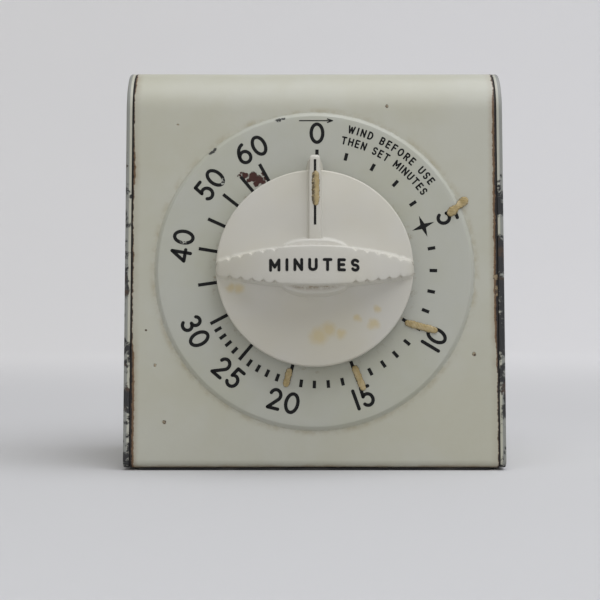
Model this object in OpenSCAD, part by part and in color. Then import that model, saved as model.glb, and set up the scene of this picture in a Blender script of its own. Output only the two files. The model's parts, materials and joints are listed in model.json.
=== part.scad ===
// Wind-up sixty-minute interval timer. A sheet of painted steel wraps over the front,
// top and back between two side covers. A raised dial and a moulded setting knob stand
// on the leaning front, and a spring movement with a bell hangs behind it.
// The front faces -Y, +X is to the viewer's right and +Z is up. The origin is on the
// table under the middle of the case. Lengths are in millimetres.

/* [Case] */
// Width of the wrapped front, top and back sheet
wrap_w = 93.5; // [88:0.5:110]
// Height of the case above the table
case_h = 102.9; // [98:0.1:115]
// Depth of the case along the table
case_d = 64; // [62:1:75]
// Degrees by which the front leans back
lean = 5; // [0:1:7]
// Outside radius of the bend from the front to the top
bend_r = 12.3; // [6:0.1:14]
// Outside radius of the bend from the top to the back
back_bend_r = 5; // [3:0.5:8]
// Thickness of the case sheet
sheet_t = 0.8; // [0.6:0.1:1]
// Width of the side covers' visible rims
rim_w = 1.2; // [1:0.1:2]
// Open seam between the sheet and each side cover
seam = 0.45; // [0.3:0.05:0.8]
// Height of the case's lower edge above the table
floor_gap = 0.6; // [0.5:0.1:1]

/* [Dial] */
// Height of the dial's centre above the table
dial_z = 50.6; // [48:0.2:54]
// Outside radius of the raised dial
dial_r = 40.9; // [38:0.1:42]
// Height of the dial above the front sheet
dial_t = 1; // [0.6:0.1:1.5]
// Thickness of the glow strips glued on the dial
marker_t = 0.8; // [0.4:0.1:0.9]

/* [Knob] */
// Radius of the knob's disc
knob_r = 24.8; // [22:0.1:25]
// Height of the knob's lower edge above the front sheet
knob_low = 2; // [1.8:0.1:2.4]
// Height of the disc's rim above the front sheet
rim_h = 7; // [6:0.1:8]
// Rounding of the disc's rim
rim_round = 0.8; // [0.5:0.1:2]
// Height of the middle of the grip above the front sheet
grip_h = 17; // [14:0.5:20]
// Half the width of the grip's face at its middle
grip_half_w = 4.85; // [3.5:0.05:6]
// Radius of the grip's bowed sides
grip_side_r = 96.5; // [70:0.5:150]
// Reach of the pointer from the knob's axis
pointer_reach = 28.1; // [26:0.1:29]
// Number of finger scallops along each quarter of the grip
scallops = 5; // [0:1:6]
// Half the length of the wider step under the middle of the grip
ledge_half_len = 8.4; // [6:0.1:11]
// How far that step stands out beyond the grip's face
ledge_out = 2.1; // [1:0.1:3]
// Thickness of the knob's moulded walls
knob_wall = 1.8; // [1.5:0.1:2.4]

/* [Movement] */
// Depth of the front movement plate's outer face behind the front sheet
plates_v = 10; // [9:0.5:12]
// Clear distance between the two movement plates
plates_gap = 15.8; // [15.8:0.1:17]
// Thickness of the movement plates
plate_t = 1.2; // [1:0.1:1.6]
// Radial clearance of the pivots in the movement plates
pivot_fit = 0.05; // [0.02:0.01:0.08]
// Turns of the mainspring
mainspring_turns = 7; // [5:1:9]
// Turns of the hairspring
hairspring_turns = 5; // [3:1:6]

/* [Bell] */
// Radius of the bell's open rim
bell_r = 20; // [16:0.5:20]
// Height of the bell
bell_h = 10; // [8:0.5:13]
// Thickness of the bell's wall
bell_t = 1; // [0.8:0.1:1.5]

/* [Hidden] */
$fn = 64;
overcut = 0.5;
// Step between a bend's arc and the flats it meets, so that they cross cleanly
bend_step = 0.002;

// Finishes
paint = [0.80, 0.80, 0.75];
dial_paint = [0.76, 0.76, 0.72];
ivory = [0.90, 0.89, 0.86];
glow = [0.68, 0.56, 0.32];
steel = [0.62, 0.63, 0.65];
blued = [0.22, 0.26, 0.36];
brass = [0.80, 0.66, 0.34];
black_felt = [0.10, 0.10, 0.10];

// Case
panel_y = -case_d / 2 + dial_z * tan(lean);
cover_x = wrap_w / 2 + seam;
lip_inset = sheet_t + 0.1;
lip_w = 6;
flange_w = 10;
base_x = wrap_w / 2 - lip_w - 0.2;
base_y = case_d / 2 - 3;
base_screw_x = base_x - 8;
base_screw_y = case_d / 2 - 6.5;
cover_screw_x = cover_x - lip_w / 2;
cover_screw_z = [16, case_h - 18];
screw_r = 1.5;
screw_head_r = 2.75;
sound_ring_pitch = 6;

// Dial and its glow strips: [right, up, length, width, direction in degrees]
dial_bevel = 0.9;
marker_places = [
    [36.6, 16.3, 6.9, 2.3, 42],
    [27.0, -14.5, 8.6, 1.9, -15],
    [11.2, -27.5, 6.8, 1.8, -68],
    [-6.8, -27.4, 4.9, 1.7, -104]
];
post_ring_r = 16;
post_r = 2.4;

// Knob
grip_half_len = knob_r - 0.4;
grip_tip_h = rim_h + 0.3;
arch_r = (pow(grip_half_len, 2) + pow(grip_h - grip_tip_h, 2)) / (2 * (grip_h - grip_tip_h));
ledge_side_r = 20.8;
pointer_rise = 1.6;
hub_r = 4.5;
arbor_r = 2;
arbor_flat = 1.4;

// Movement: places are [right, up] from the dial's centre, depths run inwards
plate_back_v = plates_v + plate_t + plates_gap;
plates_end_v = plate_back_v + plate_t;
plates_mid = [3, 3];
plates_half = [25, 29];
pillar_half = [21, 25];
pillar_r = 2.2;
pivot_r = 0.6;
great_v = plates_v + 9;
second_v = great_v + 3;
third_v = great_v + 5.4;

// Train: teeth and modules of each wheel and of the pinion it drives
great_teeth = 72;
great_module = 0.4;
second_teeth = 60;
second_module = 0.35;
third_teeth = 60;
third_module = 0.3;
second_pinion_teeth = 12;
small_pinion_teeth = 10;
escape_teeth = 15;
escape_r = 6;
second_turn = -60;
third_turn = 25;
escape_turn = 100;
pallet_turn = 115;
balance_turn = 125;
pallet_reach = 9.5;
balance_reach = 13;
roller_pin_at = 1.9;
roller_pin_r = 0.3;

function step(r, turn) = r * [cos(turn), sin(turn)];
function pitch_r(teeth, mod) = teeth * mod / 2;
function centres(wheel, pinion, mod) = pitch_r(wheel + pinion, mod);
// Turn of a pinion whose gap faces the tooth of a wheel standing at wheel_turn
function in_mesh(line, wheel_turn, wheel, pinion) =
    line + 180 + 180 / pinion - (wheel_turn - line) * wheel / pinion;

second_at = step(centres(great_teeth, second_pinion_teeth, great_module), second_turn);
third_at = second_at + step(centres(second_teeth, small_pinion_teeth, second_module), third_turn);
escape_at = third_at + step(centres(third_teeth, small_pinion_teeth, third_module), escape_turn);
pallet_at = escape_at + step(pallet_reach, pallet_turn);
balance_at = pallet_at + step(balance_reach, balance_turn);
second_phase = in_mesh(second_turn, 0, great_teeth, second_pinion_teeth);
third_phase = in_mesh(third_turn, second_phase, second_teeth, small_pinion_teeth);
escape_phase = in_mesh(escape_turn, third_phase, third_teeth, small_pinion_teeth);

// Hammer and bell
bell_at = [-4, -6];
bell_v = plates_end_v + 3.8;
hammer_at = [-15, 8.5];
head_r = 2;
bell_gap = 0.6;
head_at = bell_at + step(bell_r + bell_gap + head_r, 180);
hammer_v = plates_end_v + 1;
cam_v = great_v + 4.2;
cam_r = 6.6;
nose_at = [-7.9, -1];

// Frames

// Puts children that are drawn about the dial's centre on the leaning front
module on_panel() {
    translate([0, panel_y, dial_z])
        rotate([-lean, 0, 0])
            children();
}

// Extrudes an outline drawn as the viewer sees it from depth v0 to depth v1
module slab(v0, v1) {
    translate([0, v1, 0])
        rotate([90, 0, 0])
            linear_extrude(v1 - v0)
                children();
}

// A round rod along the depth, at a place given as [right, up]
module rod(at, r, v0, v1) {
    translate([at.x, v1, at.y])
        rotate([90, 0, 0])
            cylinder(h = v1 - v0, r = r);
}

// Turns children so that their +Z points out of the front
module outward() {
    rotate([90, 0, 0])
        children();
}

module along_x(x0, x1) {
    translate([x0, 0, 0])
        rotate([90, 0, 90])
            linear_extrude(x1 - x0)
                children();
}

// Outlines

// What a bend of radius r takes off the corner between two faces with these outward normals
module corner_waste(at, r, from, to) {
    reach = r + 2;
    translate(at)
        difference() {
            polygon([[0, 0], reach * from, 1.5 * reach * (from + to), reach * to]);
            circle(r - bend_step);
        }
}

// Side view of the case, moved inwards by inset
module case_profile(inset) {
    low = floor_gap + inset;
    top = case_h - inset;
    back = case_d / 2 - inset;
    bend_z = case_h - bend_r;
    bend_y = -case_d / 2 + (bend_r + bend_z * sin(lean)) / cos(lean);
    front_at_0 = inset / cos(lean) - case_d / 2;
    difference() {
        polygon([
            [front_at_0 + low * tan(lean), low],
            [front_at_0 + top * tan(lean), top],
            [back, top],
            [back, low]
        ]);
        corner_waste([bend_y, bend_z], bend_r - inset, [-cos(lean), sin(lean)], [0, 1]);
        corner_waste([case_d / 2 - back_bend_r, case_h - back_bend_r], back_bend_r - inset,
                     [0, 1], [1, 0]);
    }
}

module rounded_rect(half, r) {
    square([2 * half.x, 2 * (half.y - r)], center = true);
    square([2 * (half.x - r), 2 * half.y], center = true);
    for (sx = [-1, 1], sy = [-1, 1])
        translate([sx * (half.x - r), sy * (half.y - r)])
            circle(r);
}

// Two arcs of radius r that meet in a point at each end
module lens(r, half_w) {
    intersection() {
        translate([0, r - half_w])
            circle(r, $fn = 256);
        translate([0, half_w - r])
            circle(r, $fn = 256);
    }
}

// Toothed outline: straight-sided teeth, slim enough to run with backlash
module toothed(teeth, mod, addendum, slimness) {
    r = pitch_r(teeth, mod);
    pitch = 360 / teeth;
    polygon([
        for (i = [0 : teeth - 1])
            for (corner = [[-0.29, -1.2], [-0.1, addendum], [0.1, addendum], [0.29, -1.2]])
                step(r + corner.y * mod, (i + corner.x * slimness) * pitch)
    ]);
}

// A wheel's outline with three arms between hub and rim
module wheel_outline(teeth, mod, rim, hub, arm) {
    difference() {
        toothed(teeth, mod, 0.85, 0.88);
        difference() {
            circle(pitch_r(teeth, mod) - 1.2 * mod - rim);
            circle(hub);
            for (i = [0 : 2])
                rotate(120 * i + 30)
                    translate([0, -arm / 2])
                        square([teeth * mod, arm]);
        }
    }
}

// A flat bar with round ends between two places
module bar(from, to, r) {
    run = to - from;
    translate(from)
        rotate(atan2(run.y, run.x))
            translate([0, -r])
                square([norm(run), 2 * r]);
    translate(from)
        circle(r);
    translate(to)
        circle(r);
}

// A flat ribbon wound from radius r0 to radius r1
module spiral(r0, r1, turns, t) {
    steps = turns * 24;
    polygon([
        for (i = [0 : steps])
            step(r0 + (r1 - r0) * i / steps, 15 * i),
        for (i = [steps : -1 : 0])
            step(r0 + t + (r1 - r0) * i / steps, 15 * i)
    ]);
}

// Arbor with a pivot at each end, running in both movement plates
module pivoted(at, r) {
    rod(at, r, plates_v + plate_t + 0.3, plate_back_v - 0.3);
    rod(at, pivot_r, plates_v, plates_end_v + 0.2);
}

module pivot_holes() {
    for (at = [second_at, third_at, escape_at, pallet_at, balance_at])
        rod(at, pivot_r + pivot_fit, 0, plates_end_v + overcut);
}

// Case

module sound_holes() {
    for (ring = [0 : 2])
        for (i = [0 : max(0, 6 * ring - 1)])
            translate([ring * sound_ring_pitch * cos(60 * i / max(ring, 1)), 0,
                       dial_z - 5 + ring * sound_ring_pitch * sin(60 * i / max(ring, 1))])
                rotate([-90, 0, 0])
                    cylinder(h = case_d, r = 1.6);
}

module cover_screw_places() {
    for (sx = [-1, 1], z = cover_screw_z)
        translate([sx * cover_screw_x, case_d / 2, z])
            rotate([-90, 0, 0])
                children();
}

module base_screw_places() {
    for (sx = [-1, 1], sy = [-1, 1])
        translate([sx * base_screw_x, sy * base_screw_y, floor_gap])
            children();
}

module case_wrap() {
    color(paint)
        difference() {
            along_x(-wrap_w / 2, wrap_w / 2)
                case_profile(0);
            along_x(-wrap_w / 2 - overcut, wrap_w / 2 + overcut)
                case_profile(sheet_t);
            translate([-wrap_w / 2 - overcut, flange_w - case_d / 2, 0])
                cube([wrap_w + 2 * overcut, case_d - 2 * flange_w, 2 * sheet_t]);
            on_panel() {
                rod([0, 0], hub_r, -overcut, 3);
                movement_screw_places()
                    rod([0, 0], screw_r + 0.1, -overcut, 3);
            }
            sound_holes();
            cover_screw_places()
                translate([0, 0, -3])
                    cylinder(h = 4, r = screw_r + 0.1);
            base_screw_places()
                base_countersink();
        }
}

module side_cover() {
    difference() {
        union() {
            along_x(cover_x, cover_x + rim_w)
                case_profile(0);
            along_x(cover_x - lip_w, cover_x + rim_w / 2)
                case_profile(lip_inset);
        }
        along_x(cover_x - lip_w - overcut, cover_x)
            case_profile(lip_inset + sheet_t);
        cover_screw_places()
            translate([0, 0, -3])
                cylinder(h = 4, r = screw_r);
    }
}

module side_cover_left() {
    color(paint)
        mirror([1, 0, 0])
            side_cover();
}

module side_cover_right() {
    color(paint)
        side_cover();
}

module cover_screws() {
    color(steel)
        cover_screw_places() {
            translate([0, 0, -2.6])
                cylinder(h = 2.7, r = screw_r - 0.02);
            difference() {
                cylinder(h = 1.4, r1 = screw_head_r, r2 = screw_head_r - 0.5);
                translate([-screw_head_r, -0.35, 0.7])
                    cube([2 * screw_head_r, 0.7, 1]);
            }
        }
}

module base_countersink() {
    translate([0, 0, -0.01])
        cylinder(h = 1.42, r1 = screw_head_r + 0.1, r2 = screw_r + 0.1);
    cylinder(h = 6, r = screw_r + 0.1);
}

module base_plate() {
    color(steel)
        difference() {
            translate([0, 0, floor_gap + sheet_t])
                linear_extrude(1)
                    rounded_rect([base_x, base_y], 3);
            base_screw_places()
                base_countersink();
        }
}

module base_screws() {
    color(steel)
        base_screw_places()
            difference() {
                union() {
                    cylinder(h = 1.25, r1 = screw_head_r, r2 = screw_r);
                    cylinder(h = 5, r = screw_r);
                }
                translate([-screw_head_r, -0.35, -0.1])
                    cube([2 * screw_head_r, 0.7, 0.6]);
            }
}

module base_pad() {
    color(black_felt)
        difference() {
            linear_extrude(floor_gap)
                rounded_rect([wrap_w / 2 - 1, case_d / 2 - 1.2], 3);
            base_screw_places()
                translate([0, 0, -floor_gap - overcut])
                    cylinder(h = 2, r = screw_head_r + 0.8);
        }
}

// Dial

module movement_screw_places() {
    for (turn = [90, 210, 330])
        translate([post_ring_r * cos(turn), 0, post_ring_r * sin(turn)])
            children();
}

module dial_plate() {
    color(dial_paint)
        on_panel()
            difference() {
                outward() {
                    cylinder(h = dial_t - 0.5, r = dial_r, $fn = 128);
                    translate([0, 0, dial_t - 0.5])
                        cylinder(h = 0.5, r1 = dial_r, r2 = dial_r - dial_bevel, $fn = 128);
                }
                rod([0, 0], hub_r, -5, 3);
                movement_screw_places()
                    rod([0, 0], screw_r + 0.1, -5, 3);
            }
}

// One glow strip with rounded ends, lying on the dial
module marker(place) {
    half = place[2] / 2 - place[3] / 2;
    run = step(half, place[4]);
    middle = [place[0], place[1]];
    color(glow)
        on_panel()
            slab(-dial_t - marker_t, -dial_t)
                bar(middle - run, middle + run, place[3] / 2);
}

module marker_05() {
    marker(marker_places[0]);
}

module marker_10() {
    marker(marker_places[1]);
}

module marker_15() {
    marker(marker_places[2]);
}

module marker_20() {
    marker(marker_places[3]);
}

// Knob

// Half of the knob's section: a shallow dome with a rounded rim
module knob_section() {
    polygon([
        [0, knob_low],
        [knob_r - 0.4, knob_low],
        [knob_r, knob_low + 0.4],
        [knob_r, rim_h - rim_round],
        [knob_r - rim_round, rim_h - rim_round],
        [knob_r - rim_round, rim_h],
        [knob_r * 0.6, rim_h + 0.8],
        [0, rim_h + 1.2]
    ]);
    translate([knob_r - rim_round, rim_h - rim_round])
        circle(rim_round);
}

// The grip's solid: bowed sides seen from the front, an arch seen from above
module grip_solid(shrink) {
    intersection() {
        translate([0, 0, knob_low])
            linear_extrude(grip_h)
                intersection() {
                    lens(grip_side_r - shrink, grip_half_w - shrink);
                    circle(grip_half_len - 3 * shrink, $fn = 128);
                }
        translate([0, 0, grip_h - arch_r])
            rotate([90, 0, 0])
                cylinder(h = 20, r = arch_r - shrink, center = true, $fn = 256);
    }
}

// Wider step that carries the middle of the grip
module grip_ledge() {
    low = rim_h - 1;
    high = grip_h - 3.2;
    translate([0, 0, low])
        linear_extrude(high - low)
            intersection() {
                lens(ledge_side_r, grip_half_w + ledge_out);
                square([2 * ledge_half_len, 4 * grip_half_w], center = true);
            }
}

// Finger scallops along both edges of the grip, clear of its middle and its tips
module scallop_cuts() {
    first = grip_half_len * 0.47;
    pitch = 2.65;
    cut_r = 1;
    drop = grip_side_r - grip_half_w;
    if (scallops > 0)
        for (i = [0 : scallops - 1], sx = [-1, 1], sy = [-1, 1])
            let (x = first + i * pitch, y = sqrt(pow(grip_side_r, 2) - x * x) - drop)
                translate([sx * x, sy * (y + 0.55 * cut_r), rim_h + 1.2])
                    cylinder(h = grip_h, r = cut_r, $fn = 24);
}

// Ridge from the grip over the disc's edge, with a wedge-shaped tip
module pointer_ridge() {
    tip_w = 1.45;
    base_w = 2.25;
    top_h = rim_h + pointer_rise;
    low_h = knob_low + 0.9;
    intersection() {
        translate([0, pointer_reach, 0])
            rotate([90, 0, 0])
                linear_extrude(pointer_reach - 3)
                    polygon([[-base_w, low_h], [base_w, low_h], [tip_w, top_h], [-tip_w, top_h]]);
        linear_extrude(grip_h)
            polygon([
                [-base_w, 0],
                [base_w, 0],
                [base_w, pointer_reach - 5],
                [tip_w * 0.7, pointer_reach],
                [-tip_w * 0.7, pointer_reach],
                [-base_w, pointer_reach - 5]
            ]);
    }
}

// Round shaft with one flat
module d_shaft(r, h) {
    difference() {
        cylinder(h = h, r = r);
        translate([-r, arbor_flat + r - arbor_r, -overcut])
            cube([2 * r, r, h + 2 * overcut]);
    }
}

module knob_outside() {
    rotate_extrude($fn = 128)
        knob_section();
    grip_solid(0);
    grip_ledge();
    pointer_ridge();
}

module knob_hollow() {
    translate([0, 0, knob_low - overcut])
        cylinder(h = rim_h - knob_wall - knob_low + overcut, r = knob_r - knob_wall, $fn = 128);
    grip_solid(knob_wall);
}

module knob() {
    color(ivory)
        on_panel()
            outward()
                difference() {
                    knob_outside();
                    difference() {
                        knob_hollow();
                        cylinder(h = grip_h, r = hub_r);
                    }
                    scallop_cuts();
                    translate([0, 0, -overcut])
                        d_shaft(arbor_r + 0.03, rim_h + 3 + overcut);
                }
}

module knob_clip() {
    color(steel)
        on_panel()
            outward()
                translate([0, 0, knob_low + 0.8])
                    rotate([0, 0, 25])
                        rotate_extrude(angle = 310)
                            translate([hub_r + 0.05, 0])
                                square([0.6, 1.4]);
}

// Glow strip let into the top of the pointer
module pointer_marker() {
    size = [1.9, 8.6];
    middle = [0.2, 19.6];
    color(glow)
        on_panel()
            outward()
                translate([middle.x, middle.y, rim_h + pointer_rise])
                    linear_extrude(0.35)
                        square(size, center = true);
}

// Movement frame

module movement_screws() {
    head_h = 1.1;
    color(steel)
        on_panel()
            movement_screw_places()
                difference() {
                    union() {
                        rod([0, 0], screw_head_r - 0.2, -dial_t - head_h, -dial_t);
                        rod([0, 0], screw_r - 0.05, -dial_t - 0.1, 6);
                    }
                    translate([-screw_head_r, -dial_t - head_h - 0.1, -0.35])
                        cube([2 * screw_head_r, 0.6, 0.7]);
                }
}

module movement_posts() {
    color(steel)
        on_panel()
            movement_screw_places()
                difference() {
                    rod([0, 0], post_r, sheet_t, plates_v);
                    rod([0, 0], screw_r, 0, 7);
                }
}

module plate_corners() {
    for (sx = [-1, 1], sy = [-1, 1])
        translate([plates_mid.x + sx * pillar_half.x, 0, plates_mid.y + sy * pillar_half.y])
            children();
}

module movement_plate(v) {
    difference() {
        slab(v, v + plate_t)
            translate(plates_mid)
                rounded_rect(plates_half, 4);
        pivot_holes();
        rod(hammer_at, 1 + pivot_fit, 0, plates_end_v + overcut);
        plate_corners()
            rod([0, 0], 1.3, 0, plates_end_v + overcut);
    }
}

module front_plate() {
    color(brass)
        on_panel()
            difference() {
                movement_plate(plates_v);
                rod([0, 0], arbor_r + pivot_fit, 0, plates_end_v);
            }
}

module back_plate() {
    color(brass)
        on_panel()
            difference() {
                movement_plate(plate_back_v);
                rod([0, 0], 1.2 + pivot_fit, 0, plates_end_v + overcut);
                rod(bell_at, 1.4, 0, plates_end_v + overcut);
            }
}

module plate_pillars() {
    color(brass)
        on_panel()
            plate_corners() {
                rod([0, 0], pillar_r, plates_v + plate_t, plate_back_v);
                rod([0, 0], 1.25, plates_v + 0.1, plates_end_v + 2);
            }
}

module pillar_nuts() {
    color(brass)
        on_panel()
            plate_corners()
                difference() {
                    slab(plates_end_v, plates_end_v + 1.8)
                        circle(2.6, $fn = 6);
                    rod([0, 0], 1.27, plates_end_v - 1, plates_end_v + 3);
                }
}

module mainspring() {
    color(blued)
        on_panel()
            slab(plates_v + 1.8, great_v - 1.4)
                spiral(3, 11, mainspring_turns, 0.45);
}

module hairspring() {
    color(blued)
        on_panel()
            slab(great_v + 1, great_v + 1.6)
                translate(balance_at)
                    spiral(1.7, 4.6, hairspring_turns, 0.16);
}

module hairspring_stud() {
    color(brass)
        on_panel()
            slab(plates_v + plate_t, great_v + 1.9)
                translate(balance_at + [5.6, 0])
                    square([1.4, 1.4], center = true);
}

// Train

module main_arbor() {
    color(steel)
        on_panel() {
            outward()
                translate([0, 0, -2])
                    d_shaft(arbor_r, rim_h + 3);
            rod([0, 0], arbor_r, 1.9, plate_back_v - 0.5);
            rod([0, 0], 1.2, plate_back_v - 0.6, plates_end_v + 0.6);
        }
}

module great_wheel() {
    color(brass)
        on_panel()
            difference() {
                slab(great_v, great_v + 1)
                    wheel_outline(great_teeth, great_module, 1.6, 7.6, 2.4);
                rod([0, 0], arbor_r + 0.03, 0, 40);
            }
}

module ratchet_wheel() {
    teeth = 16;
    r = 4.4;
    color(steel)
        on_panel()
            difference() {
                slab(great_v + 1.05, great_v + 1.85)
                    polygon([
                        for (i = [0 : teeth - 1], corner = [[r - 0.8, 0], [r, 0.05]])
                            step(corner.x, (i + corner.y) * 360 / teeth)
                    ]);
                rod([0, 0], arbor_r + 0.03, 0, 40);
            }
}

module click() {
    color(steel)
        on_panel()
            difference() {
                slab(great_v + 1.05, great_v + 1.85) {
                    bar([6.4, -2], [5.4, 1.2], 0.75);
                    translate([6.4, -2])
                        circle(1.2);
                }
                rod([6.4, -2], 0.52, 0, 40);
            }
}

module click_rivet() {
    color(brass)
        on_panel() {
            rod([6.4, -2], 0.5, great_v + 1.02, great_v + 2);
            rod([6.4, -2], 0.9, great_v + 1.9, great_v + 2.2);
        }
}

module click_spring() {
    color(blued)
        on_panel()
            slab(great_v + 1.1, great_v + 1.7)
                bar([6.6, 1.6], [1.5, 6.6], 0.15);
}

// Drops the hammer as the timer runs out
module trip_cam() {
    color(brass)
        on_panel()
            difference() {
                slab(cam_v, cam_v + 1)
                    difference() {
                        circle(cam_r);
                        rotate(150)
                            translate([cam_r - 1.6, 0])
                                square([4, 4]);
                    }
                rod([0, 0], arbor_r + 0.03, 0, 40);
            }
}

// Arbor cut in one piece with its pinion
module pinion_arbor(at, teeth, mod, phase, v0, v1) {
    color(steel)
        on_panel() {
            pivoted(at, 0.8);
            slab(v0, v1)
                translate(at)
                    rotate(phase)
                        toothed(teeth, mod, 0.7, 0.8);
        }
}

module train_wheel(at, teeth, mod, phase, v) {
    color(brass)
        on_panel()
            difference() {
                slab(v, v + 0.7)
                    translate(at)
                        rotate(phase)
                            wheel_outline(teeth, mod, 1.1, 2.6, 1.5);
                rod(at, 0.82, 0, 40);
            }
}

module second_arbor() {
    pinion_arbor(second_at, second_pinion_teeth, great_module, second_phase, great_v - 0.3, great_v + 1.5);
}

module second_wheel() {
    train_wheel(second_at, second_teeth, second_module, second_phase, second_v);
}

module third_arbor() {
    pinion_arbor(third_at, small_pinion_teeth, second_module, third_phase, second_v - 0.3, second_v + 1.2);
}

module third_wheel() {
    train_wheel(third_at, third_teeth, third_module, third_phase, third_v);
}

module escape_arbor() {
    pinion_arbor(escape_at, small_pinion_teeth, third_module, escape_phase, third_v - 0.3, third_v + 1);
}

module escape_wheel() {
    root_r = escape_r - 1.7;
    color(brass)
        on_panel()
            difference() {
                slab(second_v, second_v + 0.6)
                    translate(escape_at)
                        polygon([
                            for (i = [0 : escape_teeth - 1])
                                for (corner = [[root_r, -0.2], [escape_r, 0], [root_r, 0.12]])
                                    step(corner.x, (i + corner.y) * 360 / escape_teeth)
                        ]);
                rod(escape_at, 0.82, 0, 40);
            }
}

// Escapement

pin_spread = 30;
pin_at = [
    escape_at + step(escape_r + 0.95, pallet_turn - pin_spread),
    escape_at + step(escape_r + 0.95, pallet_turn + pin_spread)
];

module pallet_arbor() {
    color(steel)
        on_panel()
            pivoted(pallet_at, 0.8);
}

module pallet_lever() {
    fork_end = pallet_at + step(balance_reach - roller_pin_at - 0.1, balance_turn);
    fork_root = pallet_at + step(balance_reach - roller_pin_at - 0.9, balance_turn);
    color(steel)
        on_panel()
            difference() {
                slab(second_v + 0.9, second_v + 1.4)
                    difference() {
                        union() {
                            bar(pallet_at, pin_at[0], 0.8);
                            bar(pallet_at, pin_at[1], 0.8);
                            bar(pallet_at, fork_end, 0.95);
                            translate(pallet_at)
                                circle(1.8);
                        }
                        bar(fork_root, fork_end + step(2, balance_turn), roller_pin_r + 0.2);
                    }
                rod(pallet_at, 0.82, 0, 40);
                rod(pin_at[0], 0.37, 0, 40);
                rod(pin_at[1], 0.37, 0, 40);
            }
}

module pallet_pins() {
    color(steel)
        on_panel()
            for (at = pin_at)
                rod(at, 0.35, second_v - 0.2, second_v + 1.5);
}

module balance_staff() {
    color(steel)
        on_panel()
            pivoted(balance_at, 0.7);
}

module balance_wheel() {
    rim_r = 8;
    color(brass)
        on_panel()
            difference() {
                slab(third_v, third_v + 1.1)
                    translate(balance_at)
                        difference() {
                            circle(rim_r);
                            difference() {
                                circle(rim_r - 1.3);
                                circle(1.8);
                                for (i = [0 : 2])
                                    rotate(120 * i)
                                        translate([0, -0.6])
                                            square([rim_r, 1.2]);
                            }
                        }
                rod(balance_at, 0.72, 0, 40);
            }
}

module balance_roller() {
    color(steel)
        on_panel()
            difference() {
                union() {
                    rod(balance_at, 2.4, second_v + 1.7, second_v + 2.3);
                    rod(balance_at + step(roller_pin_at, balance_turn + 180), roller_pin_r,
                        second_v + 0.9, second_v + 1.8);
                }
                rod(balance_at, 0.72, 0, 40);
            }
}

module hairspring_collet() {
    color(brass)
        on_panel()
            difference() {
                rod(balance_at, 1.4, great_v + 0.9, great_v + 1.7);
                rod(balance_at, 0.72, 0, 40);
            }
}

// Alarm

module hammer_arbor() {
    color(steel)
        on_panel() {
            rod(hammer_at, 1, plates_v, hammer_v + 1.4);
            rod(hammer_at, 1.5, plate_back_v - 1.2, plate_back_v - 0.2);
        }
}

module trip_lever() {
    color(steel)
        on_panel()
            difference() {
                slab(cam_v, cam_v + 1) {
                    bar(hammer_at, nose_at, 0.8);
                    translate(hammer_at)
                        circle(2.2);
                }
                rod(hammer_at, 1.02, 0, 50);
            }
}

module hammer_arm() {
    color(steel)
        on_panel()
            difference() {
                slab(hammer_v, hammer_v + 1.2) {
                    bar(hammer_at, head_at, 1.1);
                    translate(hammer_at)
                        circle(2.2);
                }
                rod(hammer_at, 1.02, 0, 50);
                rod(head_at, 0.8, 0, 50);
            }
}

module hammer_head() {
    color(steel)
        on_panel() {
            rod(head_at, 0.78, hammer_v - 0.1, hammer_v + 1.3);
            rod(head_at, head_r, hammer_v + 1.2, bell_v + 5);
        }
}

module hammer_spring() {
    color(blued)
        on_panel()
            slab(cam_v - 2.4, cam_v - 0.4)
                bar([-17.8, 25.4], [-17.2, 8], 0.2);
}

module bell() {
    dome_r = (pow(bell_r, 2) + pow(bell_h, 2)) / (2 * bell_h);
    color(steel)
        on_panel()
            translate([bell_at.x, bell_v, bell_at.y])
                rotate([-90, 0, 0])
                    difference() {
                        intersection() {
                            translate([0, 0, bell_h - dome_r])
                                sphere(dome_r, $fn = 128);
                            cylinder(h = bell_h + 1, r = bell_r + 1);
                        }
                        translate([0, 0, bell_h - dome_r])
                            sphere(dome_r - bell_t, $fn = 128);
                        cylinder(h = bell_h + 2, r = 1.5);
                    }
}

module bell_post() {
    color(brass)
        on_panel() {
            rod(bell_at, 3, plates_end_v, bell_v + bell_h - bell_t - 0.3);
            rod(bell_at, 1.35, plate_back_v - 0.2, plates_end_v + 0.1);
        }
}

module bell_washer() {
    top = bell_v + bell_h + 0.05;
    color(brass)
        on_panel()
            difference() {
                rod(bell_at, 3, top, top + 0.6);
                rod(bell_at, 1.5, top - 1, top + 2);
            }
}

module bell_screw() {
    top = bell_v + bell_h + 0.65;
    color(steel)
        on_panel()
            difference() {
                union() {
                    rod(bell_at, 1.3, bell_v + bell_h - bell_t - 0.3, top + 0.1);
                    rod(bell_at, 2.6, top, top + 1.6);
                }
                translate([bell_at.x - 3, top + 0.9, bell_at.y - 0.35])
                    cube([6, 1, 0.7]);
            }
}

case_wrap();
side_cover_left();
side_cover_right();
cover_screws();
base_plate();
base_screws();
base_pad();
dial_plate();
marker_05();
marker_10();
marker_15();
marker_20();
movement_screws();
movement_posts();
front_plate();
back_plate();
plate_pillars();
pillar_nuts();
mainspring();
hairspring();
hairspring_stud();
bell();
bell_post();
bell_screw();
bell_washer();
hammer_spring();
knob();
knob_clip();
pointer_marker();
main_arbor();
great_wheel();
ratchet_wheel();
click();
click_spring();
click_rivet();
trip_cam();
second_arbor();
second_wheel();
third_arbor();
third_wheel();
escape_arbor();
escape_wheel();
pallet_arbor();
pallet_lever();
pallet_pins();
balance_staff();
balance_wheel();
balance_roller();
hairspring_collet();
hammer_arbor();
trip_lever();
hammer_arm();
hammer_head();
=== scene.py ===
"""Looks of a wind-up sixty-minute timer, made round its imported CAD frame.

The case's front leans back and carries a raised dial and a setting knob. Places on
the front are given from the dial's centre as right, up and out, in metres.
"""

import json
import math

import bmesh
import bpy
from mathutils import Matrix, Vector
from mathutils.kdtree import KDTree


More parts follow.
